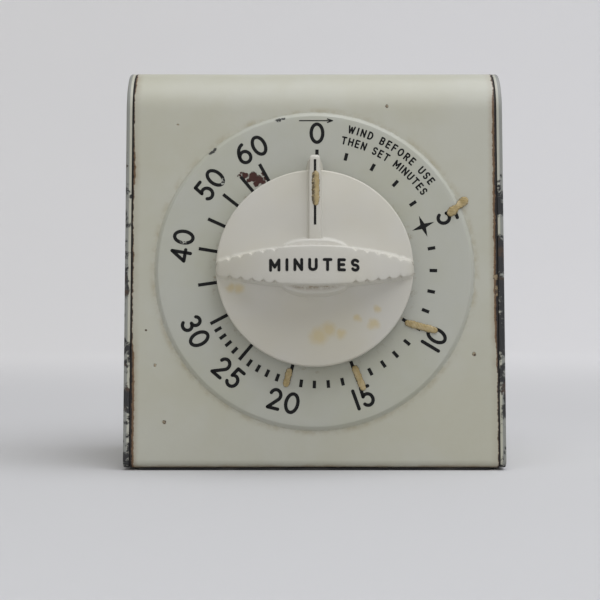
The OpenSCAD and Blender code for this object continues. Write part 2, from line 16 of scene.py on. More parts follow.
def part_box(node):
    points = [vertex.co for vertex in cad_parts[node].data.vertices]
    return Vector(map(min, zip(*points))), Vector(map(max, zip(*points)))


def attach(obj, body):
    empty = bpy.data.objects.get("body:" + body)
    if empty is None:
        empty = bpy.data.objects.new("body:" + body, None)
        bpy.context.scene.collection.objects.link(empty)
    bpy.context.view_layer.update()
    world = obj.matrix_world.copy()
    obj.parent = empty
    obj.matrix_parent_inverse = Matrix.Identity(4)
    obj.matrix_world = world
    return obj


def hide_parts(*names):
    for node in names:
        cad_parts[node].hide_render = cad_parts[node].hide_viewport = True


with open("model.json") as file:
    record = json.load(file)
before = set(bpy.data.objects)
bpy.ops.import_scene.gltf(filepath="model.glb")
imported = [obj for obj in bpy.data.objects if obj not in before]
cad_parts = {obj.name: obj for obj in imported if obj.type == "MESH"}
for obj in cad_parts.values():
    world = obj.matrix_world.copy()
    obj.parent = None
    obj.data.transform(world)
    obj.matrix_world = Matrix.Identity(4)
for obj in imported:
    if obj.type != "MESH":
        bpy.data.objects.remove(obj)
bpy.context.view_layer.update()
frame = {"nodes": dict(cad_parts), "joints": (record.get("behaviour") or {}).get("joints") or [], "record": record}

bl_info = {
    "name": "Wind-up Timer Looks",
    "version": (1, 0, 0),
    "blender": (4, 5, 0),
    "location": "View3D > Sidebar > Timer",
    "description": "Builds the shown pieces of a wind-up timer round its CAD frame",
    "category": "Object",
}

MM = 0.001

# The front's own directions, taken from the axis that the knob turns on
KNOB_TURN = next(joint for joint in frame["joints"] if joint["name"] == "knob_turn")
JOINT_DEPTH = 20 * MM  # the joint's place lies this far behind the front
INWARD = Vector(KNOB_TURN["axis"]).normalized()
RIGHT = Vector((1, 0, 0))
UP = RIGHT.cross(INWARD)
DIAL_CENTRE = Vector(KNOB_TURN["pos_m"]) - JOINT_DEPTH * INWARD
LEAN = math.atan2(-INWARD.z, INWARD.y)

CASE_LOW, CASE_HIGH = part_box("case_wrap")
COVER_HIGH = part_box("side_cover_right")[1]
SLOT_OF = {part["node"]: part["material_slot"] for part in frame["record"]["subparts"]}

# The printed scale stands a little off the knob's axis
PRINT_CENTRE = (0.65 * MM, 0.435 * MM)
# Turn in degrees, clockwise from the top, of the marks for 0, 5, 10 ... 60 minutes
MINUTE_TURNS = [0, 68.4, 121, 160.3, 194.1, 220.2, 242.3, 261.8, 279.4, 294.4, 308.3, 320.3, 331.2]


# ---------------------------------------------------------------- sizes and colours


def length(name, description, default):
    return bpy.props.FloatProperty(
        name=name, description=description, default=default * MM, unit="LENGTH", precision=5
    )


def colour(name, description, default):
    return bpy.props.FloatVectorProperty(
        name=name, description=description, default=default, subtype="COLOR", min=0, max=1
    )


def angle(name, description, default):
    return bpy.props.FloatProperty(
        name=name, description=description, default=math.radians(default), subtype="ANGLE"
    )


class CaseSizes(bpy.types.PropertyGroup):
    """Sizes and colours of the wrapped case and its two side covers"""

    sheet: length("Sheet", "Thickness of the wrapped sheet", 0.8)
    front_bend: length("Front bend", "Outside radius of the bend from front to top", 12.3)
    back_bend: length("Back bend", "Outside radius of the bend from top to back", 5.0)
    foot_bend: length("Foot bend", "Radius of the bends along the case's foot", 1.9)
    flange: length("Flange", "Width of the sheet turned in under the case", 10.0)
    edge_round: length("Edge rounding", "Rounding of the sheet's cut edges", 0.25)
    waviness: length("Waviness", "How far the pressed sheet wanders from flat", 0.05)
    cover_wall: length("Cover wall", "Width of a side cover's rim, seen from the front", 1.55)
    rim_round: length("Rim rounding", "Rounding of the covers' outer edges", 0.45)
    lip_inset: length("Lip inset", "Step from the cover's rim down to its lip", 0.9)
    lip_width: length("Lip width", "Width of the lip behind the sheet", 6.0)
    pillow: length("Pillow", "How far the covers' faces swell", 0.12)
    paint: colour("Paint", "Colour of the aged enamel", (0.505, 0.50, 0.42))
    paint_yellowed: colour("Yellowed paint", "Colour of its yellowed patches", (0.475, 0.463, 0.36))
    chip: colour("Chip", "Colour of bare, rusted steel in a chip", (0.075, 0.045, 0.028))
    rust: colour("Rust", "Colour of rust stains", (0.23, 0.145, 0.065))
    rust_dark: colour("Dark rust", "Colour of rust along the cut edges", (0.13, 0.060, 0.018))


class DialSizes(bpy.types.PropertyGroup):
    """Sizes and colours of the dial, its print and its glow strips"""

    radius: length("Radius", "Outside radius of the dial", 40.9)
    rise: length("Rise", "Height of the dial above the front", 1.0)
    bevel: length("Bevel", "Width of its pressed edge", 1.3)
    numeral_height: length("Numeral height", "Height of the minute numerals", 5.6)
    numeral_stroke: length("Numeral stroke", "Line width of the minute numerals", 0.88)
    letter_height: length("Letter height", "Height of the instruction's letters", 2.15)
    letter_stroke: length("Letter stroke", "Line width of the instruction's letters", 0.42)
    ink_height: length("Ink height", "Thickness of the printed ink", 0.02)
    paint: colour("Paint", "Colour of the dial's enamel", (0.47, 0.472, 0.41))
    ink: colour("Ink", "Colour of the print", (0.012, 0.012, 0.012))
    glow: colour("Glow paste", "Colour of the aged glow paste", (0.42, 0.32, 0.145))


class KnobSizes(bpy.types.PropertyGroup):
    """Sizes and colours of the setting knob"""

    radius: length("Radius", "Radius of the knob's disc", 24.8)
    low: length("Low edge", "Height of its lower edge above the front", 2.0)
    rim: length("Rim height", "Height of the disc's rim above the front", 7.0)
    rim_round: length("Rim rounding", "Rounding of the disc's rim", 0.6)
    grip_drop: length("Grip drop", "How far the grip sits below the knob's middle", 0.45)
    dome: length("Dome", "Height of the disc's middle over its nominal rim", 0.5)
    dome_fall: length("Dome fall", "How far the disc falls from its middle to its rim", 1.2)
    flare: length("Flare", "How far the disc sweeps up to the grip", 2.4)
    flare_width: length("Flare width", "Width of that sweep beside the grip", 8.5)
    pointer_flare: length("Pointer flare", "How far the disc sweeps up to the pointer", 0.8)
    wall: length("Wall", "Thickness of the moulded walls", 1.8)
    hub: length("Hub", "Radius of the hub that holds the arbor", 4.5)
    grip_height: length("Grip height", "Height of the middle of the grip", 17.0)
    grip_half_width: length("Grip half width", "Half the width of the grip's face", 4.85)
    grip_side: length("Grip side radius", "Radius of the grip's bowed sides", 96.5)
    grip_half_length: length("Grip half length", "Reach of the grip from the axis", 24.85)
    grip_arch: length("Grip arch", "Radius of the grip's arched back", 35.5)
    ledge_half_length: length("Ledge half length", "Half the length of the step in the grip's sides", 8.6)
    ledge_out: length("Ledge reach", "How far that step stands out", 2.0)
    ledge_height: length("Ledge height", "Height of that step above the front", 13.8)
    pointer_reach: length("Pointer reach", "Reach of the pointer from the axis", 28.1)
    pointer_height: length("Pointer height", "Height of the pointer's flat top", 9.5)
    lettering_height: length("Lettering height", "Height of the letters on the grip", 3.2)
    lettering_stroke: length("Lettering stroke", "Line width of the letters on the grip", 0.74)
    plastic: colour("Plastic", "Colour of the moulded plastic", (0.58, 0.56, 0.495))
    stain: colour("Stain", "Colour of its yellow stains", (0.56, 0.46, 0.25))
    grime: colour("Grime", "Colour of the dirt in its corners", (0.22, 0.15, 0.07))


class StageSettings(bpy.types.PropertyGroup):
    """Floor, light and camera"""

    floor: colour("Floor", "Colour of the floor and of the sweep behind it", (0.60, 0.595, 0.59))
    glow: bpy.props.FloatProperty(
        name="Backdrop light", description="Light given off by the wall behind", default=0.23, min=0
    )
    floor_radius: length("Floor radius", "Radius of the flat part of the floor", 750)
    sweep_radius: length("Sweep radius", "Radius of the sweep from floor to wall", 500)
    wall_height: length("Wall height", "Height of the wall round the floor", 1500)
    lamp_power: bpy.props.FloatProperty(
        name="Lamp power", description="Power of the high lamp", default=10.8, unit="POWER"
    )
    lamp_size: length("Lamp size", "Width of each large soft lamp", 1150)
    lamp_distance: length("Lamp distance", "Distance of the lamps from the dial", 1000)
    lamp_elevation: angle("Lamp elevation", "Angle of the high lamp above the floor", 68)
    lamp_side: angle("Lamp side", "Angle of the high lamp to the right of the front", 50)
    fill_power: bpy.props.FloatProperty(
        name="Fill power", description="Power of the low lamp on the left", default=1.4, unit="POWER"
    )
    fill_elevation: angle("Fill elevation", "Angle of the low lamp above the floor", 12)
    fill_side: angle("Fill side", "Angle of the low lamp to the right of the front", -38)
    sky: bpy.props.FloatProperty(
        name="Sky", description="Strength of the pale light from all round", default=0.25, min=0
    )
    lens: bpy.props.FloatProperty(
        name="Lens", description="Focal length of the camera, in millimetres", default=84.8
    )
    camera_distance: length("Camera distance", "Distance of the camera from the case's middle", 388)
    camera_height: length("Camera height", "Height of the camera above the floor", 43)
    camera_side: length("Camera side", "How far right of the middle the camera stands", -3.7)


# ---------------------------------------------------------------- shader sums


class Wire:
    """A node's output that can take part in a sum. Each operation adds its Math node."""

    def __init__(self, finish, socket):
        self.finish = finish
        self.socket = socket

    def math(self, operation, first, second):
        return self.finish.node("ShaderNodeMath", {"operation": operation}, {0: first, 1: second})

    def __add__(self, other):
        return self.math("ADD", self, other)

    def __radd__(self, other):
        return self.math("ADD", other, self)

    def __sub__(self, other):
        return self.math("SUBTRACT", self, other)

    def __rsub__(self, other):
        return self.math("SUBTRACT", other, self)

    def __mul__(self, other):
        return self.math("MULTIPLY", self, other)

    def __rmul__(self, other):
        return self.math("MULTIPLY", other, self)

    def __abs__(self):
        return self.math("ABSOLUTE", self, 0)

    def most(self, other):
        return self.math("MAXIMUM", self, other)

    def least(self, other):
        return self.math("MINIMUM", self, other)


class Finish:
    """A material under construction"""

    def __init__(self, name):
        old = bpy.data.materials.get(name)
        if old:
            bpy.data.materials.remove(old)
        self.material = bpy.data.materials.new(name)
        self.material.use_nodes = True
        self.tree = self.material.node_tree
        self.tree.nodes.clear()
        self.place = self.node("ShaderNodeTexCoord", output="Object")

    def node(self, kind, settings=None, inputs=None, output=0):
        """Adds a node: its settings first, then its sockets' values or links"""
        made = self.tree.nodes.new(kind)
        for key, value in (settings or {}).items():
            setattr(made, key, value)
        for key, value in (inputs or {}).items():
            if isinstance(value, Wire):
                self.tree.links.new(value.socket, made.inputs[key])
            else:
                made.inputs[key].default_value = value
        return Wire(self, made.outputs[output]) if made.outputs else None

    def vector(self, operation, first, second, output=0):
        return self.node("ShaderNodeVectorMath", {"operation": operation}, {0: first, 1: second}, output)

    def noise(self, size, detail=3, rough=0.5, place=None):
        """Cloudy noise from 0 to 1 whose features are about this size"""
        return self.node(
            "ShaderNodeTexNoise",
            inputs={
                "Vector": place or self.place,
                "Scale": 1 / size,
                "Detail": detail,
                "Roughness": rough,
            },
        )

    def rise(self, value, low, high):
        """0 below low, 1 above high, smooth between. Falls if low is above high."""
        return self.node(
            "ShaderNodeMapRange",
            {"interpolation_type": "SMOOTHSTEP"},
            {0: value, 1: low, 2: high, 3: 0, 4: 1},
        )

    def mix(self, share, first, second):
        """Colour from first to second by share"""
        first = first if isinstance(first, Wire) else (*first, 1)
        second = second if isinstance(second, Wire) else (*second, 1)
        return self.node(
            "ShaderNodeMix", {"data_type": "RGBA"}, {0: share, 6: first, 7: second}, output=2
        )

    def along(self, direction, origin=(0, 0, 0)):
        """Distance along a direction from an origin"""
        away = self.vector("SUBTRACT", self.place, tuple(origin))
        return self.vector("DOT_PRODUCT", away, tuple(direction), output="Value")

    def ragged(self, size, reach):
        """The place, pushed about by noise so that edges drawn on it come out ragged"""
        push = self.node(
            "ShaderNodeTexNoise",
            inputs={"Vector": self.place, "Scale": 1 / size, "Detail": 4, "Roughness": 0.65},
            output="Color",
        )
        centred = self.vector("SUBTRACT", push, (0.5, 0.5, 0.5))
        scaled = self.vector("MULTIPLY", centred, (reach, reach, reach))
        return self.vector("ADD", self.place, scaled)

    def blots(self, blots, soft, place=None):
        """Mask of round marks given as (right, up, out, radius) in millimetres on the front"""
        mask = None
        for right, up, out, radius in blots:
            centre = on_front(right * MM, up * MM, out * MM)
            far = self.vector("DISTANCE", place or self.place, tuple(centre), output="Value")
            mark = self.rise(far, radius * MM, radius * MM * (1 - soft))
            mask = mark if mask is None else mask.most(mark)
        return mask

    def specks(self, spacing, radius, share, seed=0):
        """Mask of tiny round specks, one cell in so many (share) holding one"""
        place = self.vector("ADD", self.place, (seed, seed, seed))
        cells = {"Vector": place, "Scale": 1 / spacing}
        far = self.node("ShaderNodeTexVoronoi", inputs=cells, output="Distance")
        chance = self.node("ShaderNodeTexVoronoi", inputs=cells, output="Color")
        picked = self.vector("DOT_PRODUCT", chance, (1, 0, 0), output="Value")
        size = self.rise(picked, 1 - share, 1)
        return self.rise(size * (radius / spacing) - far, 0, 0.02)

    def bump(self, height):
        """Shading of a relief whose height is given in millimetres"""
        return self.node(
            "ShaderNodeBump", inputs={"Height": height, "Distance": MM, "Strength": 1.0}
        )

    def grime(self):
        """The mask written on a piece's points when it was made: dirt and wear, and painted shade in the side
        covers' gaps, round the glow strips' feet and on the pointer strip's left side
        """
        return self.node("ShaderNodeAttribute", {"attribute_name": "grime"}, output="Fac")

    def from_axis(self):
        """Distance from the knob's axis"""
        away = self.vector("SUBTRACT", self.place, tuple(DIAL_CENTRE))
        in_plane = self.vector("CROSS_PRODUCT", away, tuple(INWARD))
        return self.vector("LENGTH", in_plane, (0, 0, 0), output="Value")

    def gloss(self, least):
        """Roughness of enamel, cloudy above its least"""
        return least + self.noise(9 * MM) * 0.14

    def close(self, **sockets):
        """Joins the shader and the output, and gives back the finished material"""
        shader = self.node("ShaderNodeBsdfPrincipled", inputs=sockets)
        self.node("ShaderNodeOutputMaterial", inputs={"Surface": shader})
        return self.material


# ---------------------------------------------------------------- shapes


def on_front(right, up, out):
    """A place on the leaning front, from the dial's centre"""
    return DIAL_CENTRE + right * RIGHT + up * UP - out * INWARD


def smooth_step(value, low, high):
    share = min(1, max(0, (value - low) / (high - low)))
    return share * share * (3 - 2 * share)


def tube(rings, wrap=False):
    """Points and faces of the surface through closed rings, capped unless it wraps round"""
    count = len(rings[0])
    points = [point for ring in rings for point in ring]
    faces = []
    for i in range(len(rings) if wrap else len(rings) - 1):
        here = i * count
        there = (i + 1) % len(rings) * count
        for k in range(count):
            after = (k + 1) % count
            faces.append((here + k, here + after, there + after, there + k))
    if not wrap:
        last = len(points) - count
        faces.append(tuple(range(count)))
        faces.append(tuple(range(last, last + count)))
    return points, faces


def lathe(profile, steps):
    """A closed profile of (radius, out) turned about the knob's axis"""
    rings = []
    for i in range(steps):
        turn = 2 * math.pi * i / steps
        rings.append([on_front(r * math.sin(turn), r * math.cos(turn), out) for r, out in profile])
    return tube(rings, wrap=True)


def arc(centre, radii, start, end, steps):
    """Points of an ellipse's arc between two angles in degrees, anticlockwise from the right"""
    rx, ry = radii if isinstance(radii, tuple) else (radii, radii)
    turns = [math.radians(start + (end - start) * i / steps) for i in range(steps + 1)]
    return [(centre[0] + rx * math.cos(a), centre[1] + ry * math.sin(a)) for a in turns]


def make_piece(name, shells, finish, body, stands_for=(), crease=40, grime=None, shape=None):
    """Makes one mesh piece of (points, faces) shells, and says what it rides on and stands for"""
    old = bpy.data.objects.get(name)
    if old:
        bpy.data.objects.remove(old)
    sculpt = bmesh.new()
    for points, faces in shells:
        made = [sculpt.verts.new(point) for point in points]
        for face in faces:
            sculpt.faces.new([made[i] for i in face])
    bmesh.ops.remove_doubles(sculpt, verts=sculpt.verts, dist=0.0005 * MM)
    bmesh.ops.dissolve_degenerate(sculpt, edges=sculpt.edges, dist=0.0005 * MM)
    bmesh.ops.recalc_face_normals(sculpt, faces=sculpt.faces)
    mesh = bpy.data.meshes.new(name)
    sculpt.to_mesh(mesh)
    sculpt.free()
    piece = bpy.data.objects.new(name, mesh)
    bpy.context.scene.collection.objects.link(piece)
    if shape:
        mesh = shape(piece)
    mesh.shade_smooth()
    mesh.set_sharp_from_angle(angle=math.radians(crease))
    mesh.materials.clear()
    mesh.materials.append(finish)
    if grime:
        layer = mesh.attributes.new("grime", "FLOAT", "POINT")
        layer.data.foreach_set("value", [grime(vertex.co) for vertex in mesh.vertices])
    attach(piece, body)
    if stands_for:
        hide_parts(*stands_for)
    return piece


def left_of(way):
    return Vector((-way.y, way.x))


def turned_path(corners, radii, pitch, closed=False):
    """Stations (point, outward normal) along a path of (y, z) corners that turns right"""
    corners = [Vector(corner) for corner in corners]
    count = len(corners)
    runs = count if closed else count - 1
    ways = [(corners[(i + 1) % count] - corners[i]).normalized() for i in range(runs)]
    turning = [closed or 0 < i < count - 1 for i in range(count)]
    sweeps = [ways[i - 1].angle(ways[i]) if turning[i] else 0 for i in range(count)]
    reach = [radii[i] * math.tan(sweeps[i] / 2) for i in range(count)]
    stations = []
    for i in range(count):
        if turning[i]:
            normal = left_of(ways[i - 1])
            centre = corners[i] - reach[i] * ways[i - 1] - radii[i] * normal
            steps = max(6, round(math.degrees(sweeps[i]) / 5))
            for k in range(steps + 1):
                spun = Matrix.Rotation(-sweeps[i] * k / steps, 2) @ normal
                stations.append((centre + radii[i] * spun, spun))
        else:
            stations.append((corners[i], left_of(ways[min(i, runs - 1)])))
        if i < runs:
            after = (i + 1) % count
            start = corners[i] + reach[i] * ways[i]
            end = corners[after] - reach[after] * ways[i]
            steps = max(1, round((end - start).length / pitch))
            for k in range(1, steps):
                stations.append((start.lerp(end, k / steps), left_of(ways[i])))
    return stations


def case_corners():
    """The case's side view as (y, z) corners, from the front's foot round to the back's"""
    slope = math.tan(LEAN)

    def front(z):
        return (DIAL_CENTRE.y + (z - DIAL_CENTRE.z) * slope, z)

    return [
        front(CASE_LOW.z),
        front(CASE_HIGH.z),
        (CASE_HIGH.y, CASE_HIGH.z),
        (CASE_HIGH.y, CASE_LOW.z),
    ]


def wander(x, z):
    """Slow in-and-out of pressed sheet metal, from -1 to 1"""
    return (
        math.sin(x / (17 * MM) + 1.3) * math.sin(z / (21 * MM) + 0.4)
        + 0.6 * math.sin(x / (8.5 * MM) - z / (12 * MM) + 2.1)
    ) / 1.6


CUTTER_SIDES = 32


def cut_holes(piece, cutters):
    """Cuts lathed holes, each given as (centre, axis, profile), through a piece"""
    shells = []
    for centre, axis, profile in cutters:
        across = axis.orthogonal().normalized()
        other = axis.cross(across)
        rings = []
        for depth, radius in profile:
            ring = []
            for i in range(CUTTER_SIDES):
                turn = 2 * math.pi * i / CUTTER_SIDES
                ring.append(
                    centre + depth * axis
                    + radius * (math.cos(turn) * across + math.sin(turn) * other)
                )
            rings.append(ring)
        shells.append(tube(rings))
    sculpt = bmesh.new()
    for points, faces in shells:
        made = [sculpt.verts.new(point) for point in points]
        for face in faces:
            sculpt.faces.new([made[i] for i in face])
    bmesh.ops.recalc_face_normals(sculpt, faces=sculpt.faces)
    mesh = bpy.data.meshes.new("hole_cutters")
    sculpt.to_mesh(mesh)
    sculpt.free()
    cutter = bpy.data.objects.new("hole_cutters", mesh)
    bpy.context.scene.collection.objects.link(cutter)
    cut = piece.modifiers.new("Holes", "BOOLEAN")
    cut.operation = "DIFFERENCE"
    cut.object = cutter
    cut.solver = "EXACT"
    bpy.context.view_layer.update()
    shown = piece.evaluated_get(bpy.context.evaluated_depsgraph_get())
    result = bpy.data.meshes.new_from_object(shown)
    piece.modifiers.clear()
    piece.data = result
    bpy.data.objects.remove(cutter)
    bpy.data.meshes.remove(mesh)
    return result


# ---------------------------------------------------------------- case


def skin_shell(sizes):
    """The wrapped sheet: a rounded strip section swept along the case's side view"""
    corners = case_corners()
    inner_front = (corners[0][0] + sizes.flange, CASE_LOW.z)
    inner_back = (CASE_HIGH.y - sizes.flange, CASE_LOW.z)
    path = [inner_front, *corners, inner_back]
    radii = [0, sizes.foot_bend, sizes.front_bend, sizes.back_bend, sizes.foot_bend, 0]
    stations = turned_path(path, radii, 2.2 * MM)
    half = CASE_HIGH.x
    edge = sizes.edge_round
    columns = 44
    section = []
    for i in range(columns + 1):
        section.append((-half + edge + 2 * (half - edge) * i / columns, 0))
    for turn in (30, 60, 90):
        a = math.radians(turn)
        section.append((half - edge + edge * math.sin(a), edge - edge * math.cos(a)))
    for turn in (0, 30, 60):
        a = math.radians(turn)
        section.append((half - edge + edge * math.cos(a), sizes.sheet - edge + edge * math.sin(a)))
    mirrored = [(-x, inset) for x, inset in section[columns + 1:]]
    for i in range(columns + 1):
        section.append((half - edge - 2 * (half - edge) * i / columns, sizes.sheet))
    section.extend(reversed(mirrored))
    rings = []
    for point, normal in stations:
        ring = []
        for x, inset in section:
            swell = sizes.waviness * wander(x, point.y + point.x)
            place = point - (inset - swell) * normal
            ring.append(Vector((x, place.x, place.y)))
        rings.append(ring)
    return tube(rings)


def sound_hole_places():
    """Rings of holes in the back, as (x, z)"""
    pitch = 6 * MM
    middle = DIAL_CENTRE.z - 5 * MM
    places = [(0, middle)]
    for ring in (1, 2):
        for i in range(6 * ring):
            turn = 2 * math.pi * i / (6 * ring)
            places.append((ring * pitch * math.cos(turn), middle + ring * pitch * math.sin(turn)))
    return places


def screw_places(node, head, first, second):
    """Middles of four screws at the corners of a node's box, along two of its axes"""
    low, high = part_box(node)
    return [
        (a, b)
        for a in (low[first] + head, high[first] - head)
        for b in (low[second] + head, high[second] - head)
    ]


class TIMER_OT_case_skin(bpy.types.Operator):
    """Wraps the painted sheet over the front, top and back"""

    bl_idname = "timer.case_skin"
    bl_label = "Case skin"

    def execute(self, context):
        sizes = context.scene.timer_case
        head = 2.75 * MM
        shank = 1.6 * MM
        above = -1 * MM
        through = 3 * MM
        forwards = Vector((0, -1, 0))
        upwards = Vector((0, 0, 1))
        bell_mouth = [(above, 2.3 * MM), (0, 1.9 * MM), (0.12 * MM, 1.7 * MM), (0.3 * MM, shank)]
        pressed = [*bell_mouth, (through, shank)]
        plain = [(above, shank), (through, shank)]
        sunk = [(above / 2, head + 0.55 * MM), (1.4 * MM, shank), (through, shank)]
        hub = context.scene.timer_knob.hub
        holes = [
            (Vector((x, CASE_HIGH.y, z)), forwards, pressed) for x, z in sound_hole_places()
        ]
        for x, z in screw_places("cover_screws", head, 0, 2):
            holes.append((Vector((x, CASE_HIGH.y, z)), forwards, plain))
        for x, y in screw_places("base_screws", head, 0, 1):
            holes.append((Vector((x, y, CASE_LOW.z)), upwards, sunk))
        holes.append((DIAL_CENTRE, INWARD, [(above / 2, hub), (through, hub)]))
        make_piece(
            "case_skin",
            [skin_shell(sizes)],
            case_enamel(sizes),
            "root",
            ["case_wrap"],
            shape=lambda piece: cut_holes(piece, holes),
        )
        return {"FINISHED"}


def cover_shell(sizes, side):
    """One side cover: a plate with rounded edges and a lip that goes in behind the sheet"""
    corners = case_corners()
    radii = [sizes.foot_bend, sizes.front_bend, sizes.back_bend, sizes.foot_bend]
    stations = turned_path(corners, radii, 2.5 * MM, closed=True)
    inner = COVER_HIGH.x - sizes.cover_wall
    outer = COVER_HIGH.x
    rim = sizes.rim_round
    soft = 0.2 * MM
    section = []
    for turn in (0, 22, 45, 68, 90):
        a = math.radians(turn)
        section.append((outer - rim + rim * math.cos(a), rim - rim * math.sin(a)))
    for turn in (90, 45, 0):
        a = math.radians(turn)
        section.append((inner + soft - soft * math.cos(a), soft - soft * math.sin(a)))
    lip_end = inner - sizes.lip_width
    section.append((inner, sizes.lip_inset))
    section.append((lip_end, sizes.lip_inset))
    section.append((lip_end, sizes.lip_inset + sizes.sheet))
    section.append((inner, sizes.lip_inset + sizes.sheet))
    rings = []
    middle = sum((point for point, _ in stations), Vector((0, 0))) / len(stations)
    shares = (0.03, 0.12, 0.25, 0.4, 0.55, 0.68, 0.79, 0.88, 0.94, 0.98)
    for share in shares:
        swell = sizes.pillow * (1 - share ** 4)
        ring = []
        for point, normal in stations:
            edge = point - rim * normal
            place = middle + (edge - middle) * share
            ring.append((outer - swell, place))
        rings.append(ring)
    for x, inset in section:
        rings.append([(x, point - inset * normal) for point, normal in stations])
    for share in (0.97, 0.8, 0.5, 0.03):
        ring = []
        for point, normal in stations:
            edge = point - (sizes.lip_inset + sizes.sheet) * normal
            ring.append((inner, middle + (edge - middle) * share))
        rings.append(ring)
    rings = [[Vector((side * x, place.x, place.y)) for x, place in ring] for ring in rings]
    return tube(rings)


def cover_grime(sizes):
    """Wear along a cover's outline (up to 1) and painted shade in the gap beside the sheet (2)"""
    radii = [sizes.foot_bend, sizes.front_bend, sizes.back_bend, sizes.foot_bend]
    outline = turned_path(case_corners(), radii, 0.4 * MM, closed=True)
    near = KDTree(len(outline))
    for i, (point, _) in enumerate(outline):
        near.insert((0, point.x, point.y), i)
    near.balance()
    inner = COVER_HIGH.x - sizes.cover_wall

    def grime(point):
        # The inner wall facing the sheet: painted shade in the gap.
        if abs(point.x) < inner + 0.01 * MM:
            return 2
        away = near.find((0, point.y, point.z))[2]
        return 1 - smooth_step(away, 0.5 * MM, 2.0 * MM)

    return grime


class TIMER_OT_side_covers(bpy.types.Operator):
    """Makes the two side covers with their rims and lips"""

    bl_idname = "timer.side_covers"
    bl_label = "Side covers"

    def execute(self, context):
        sizes = context.scene.timer_case
        finish = cover_enamel(sizes)
        grime = cover_grime(sizes)
        for name, side, node in (
            ("cover_left", -1, "side_cover_left"),
            ("cover_right", 1, "side_cover_right"),
        ):
            shell = cover_shell(sizes, side)
            make_piece(name, [shell], finish, "root", [node], grime=grime)
        return {"FINISHED"}


# ---------------------------------------------------------------- dial


class TIMER_OT_dial_plate(bpy.types.Operator):
    """Turns the raised dial with its rounded bevel"""

    bl_idname = "timer.dial_plate"
    bl_label = "Dial plate"

    def execute(self, context):
        sizes = context.scene.timer_dial
        hub = context.scene.timer_knob.hub
        foot = -0.02 * MM
        steps = 12
        round_off = []
        for i in range(steps + 1):
            out = 0.5 * sizes.rise * (1 + math.cos(math.pi * i / steps))
            round_off.append((sizes.radius - sizes.bevel * (1 - i / steps), out))
        profile = [(hub, foot), (hub, sizes.rise)]
        for share in (0.15, 0.3, 0.45, 0.6, 0.75, 0.88, 0.96):
            profile.append((hub + (sizes.radius - sizes.bevel - hub) * share, sizes.rise))
        profile.extend(round_off)
        profile.append((sizes.radius, foot))
        make_piece(
            "dial_disc",
            [lathe(profile, 256)],
            dial_enamel(sizes),
            "root",
            ["dial_plate"],
            crease=70,
        )
        return {"FINISHED"}


# ---------------------------------------------------------------- print


def split_at_corners(path, sharpest=35):
    """Cuts a path into pieces wherever it turns by more than this many degrees"""
    path = [point for i, point in enumerate(path) if i == 0 or math.dist(point, path[i - 1]) > 1e-9]
    pieces = [[path[0]]]
    for i in range(1, len(path)):
        pieces[-1].append(path[i])
        if i < len(path) - 1:
            before = Vector(path[i]) - Vector(path[i - 1])
            after = Vector(path[i + 1]) - Vector(path[i])
            if math.degrees(before.angle(after)) > sharpest:
                pieces.append([path[i]])
    return pieces


def resampled(path, pitch):
    """The same path with points no further apart than pitch"""
    points = [Vector(path[0])]
    for point in path[1:]:
        start = points[-1].copy()
        run = Vector(point) - start
        steps = max(1, math.ceil(run.length / pitch))
        points.extend(start + run * k / steps for k in range(1, steps + 1))
    return points


def strip(path, width, lay, round_ends=True, pitch=0.5 * MM):
    """A thin closed strip along a path; lay(along, up, top) puts its points on a surface"""
    points = resampled(path, pitch)
    closed = (points[0] - points[-1]).length < 0.001 * MM
    if closed:
        points.pop()
    count = len(points)
    stations = []
    for i, point in enumerate(points):
        before = points[i - 1] if closed or i else point
        after = points[(i + 1) % count] if closed or i < count - 1 else point
        stations.append((point, (after - before).normalized(), width / 2))
    if round_ends and not closed:
        start, way, half = stations[0]
        end, last_way, _ = stations[-1]
        for turn in (25, 50, 75):
            a = math.radians(turn)
            stations.insert(0, (start - half * math.sin(a) * way, way, half * math.cos(a)))
            stations.append((end + half * math.sin(a) * last_way, last_way, half * math.cos(a)))
    rings = []
    for point, way, half in stations:
        side = half * left_of(way)
        left = point + side
        right = point - side
        rings.append(
            [lay(*left, True), lay(*right, True), lay(*right, False), lay(*left, False)]
        )
    return tube(rings, wrap=closed)


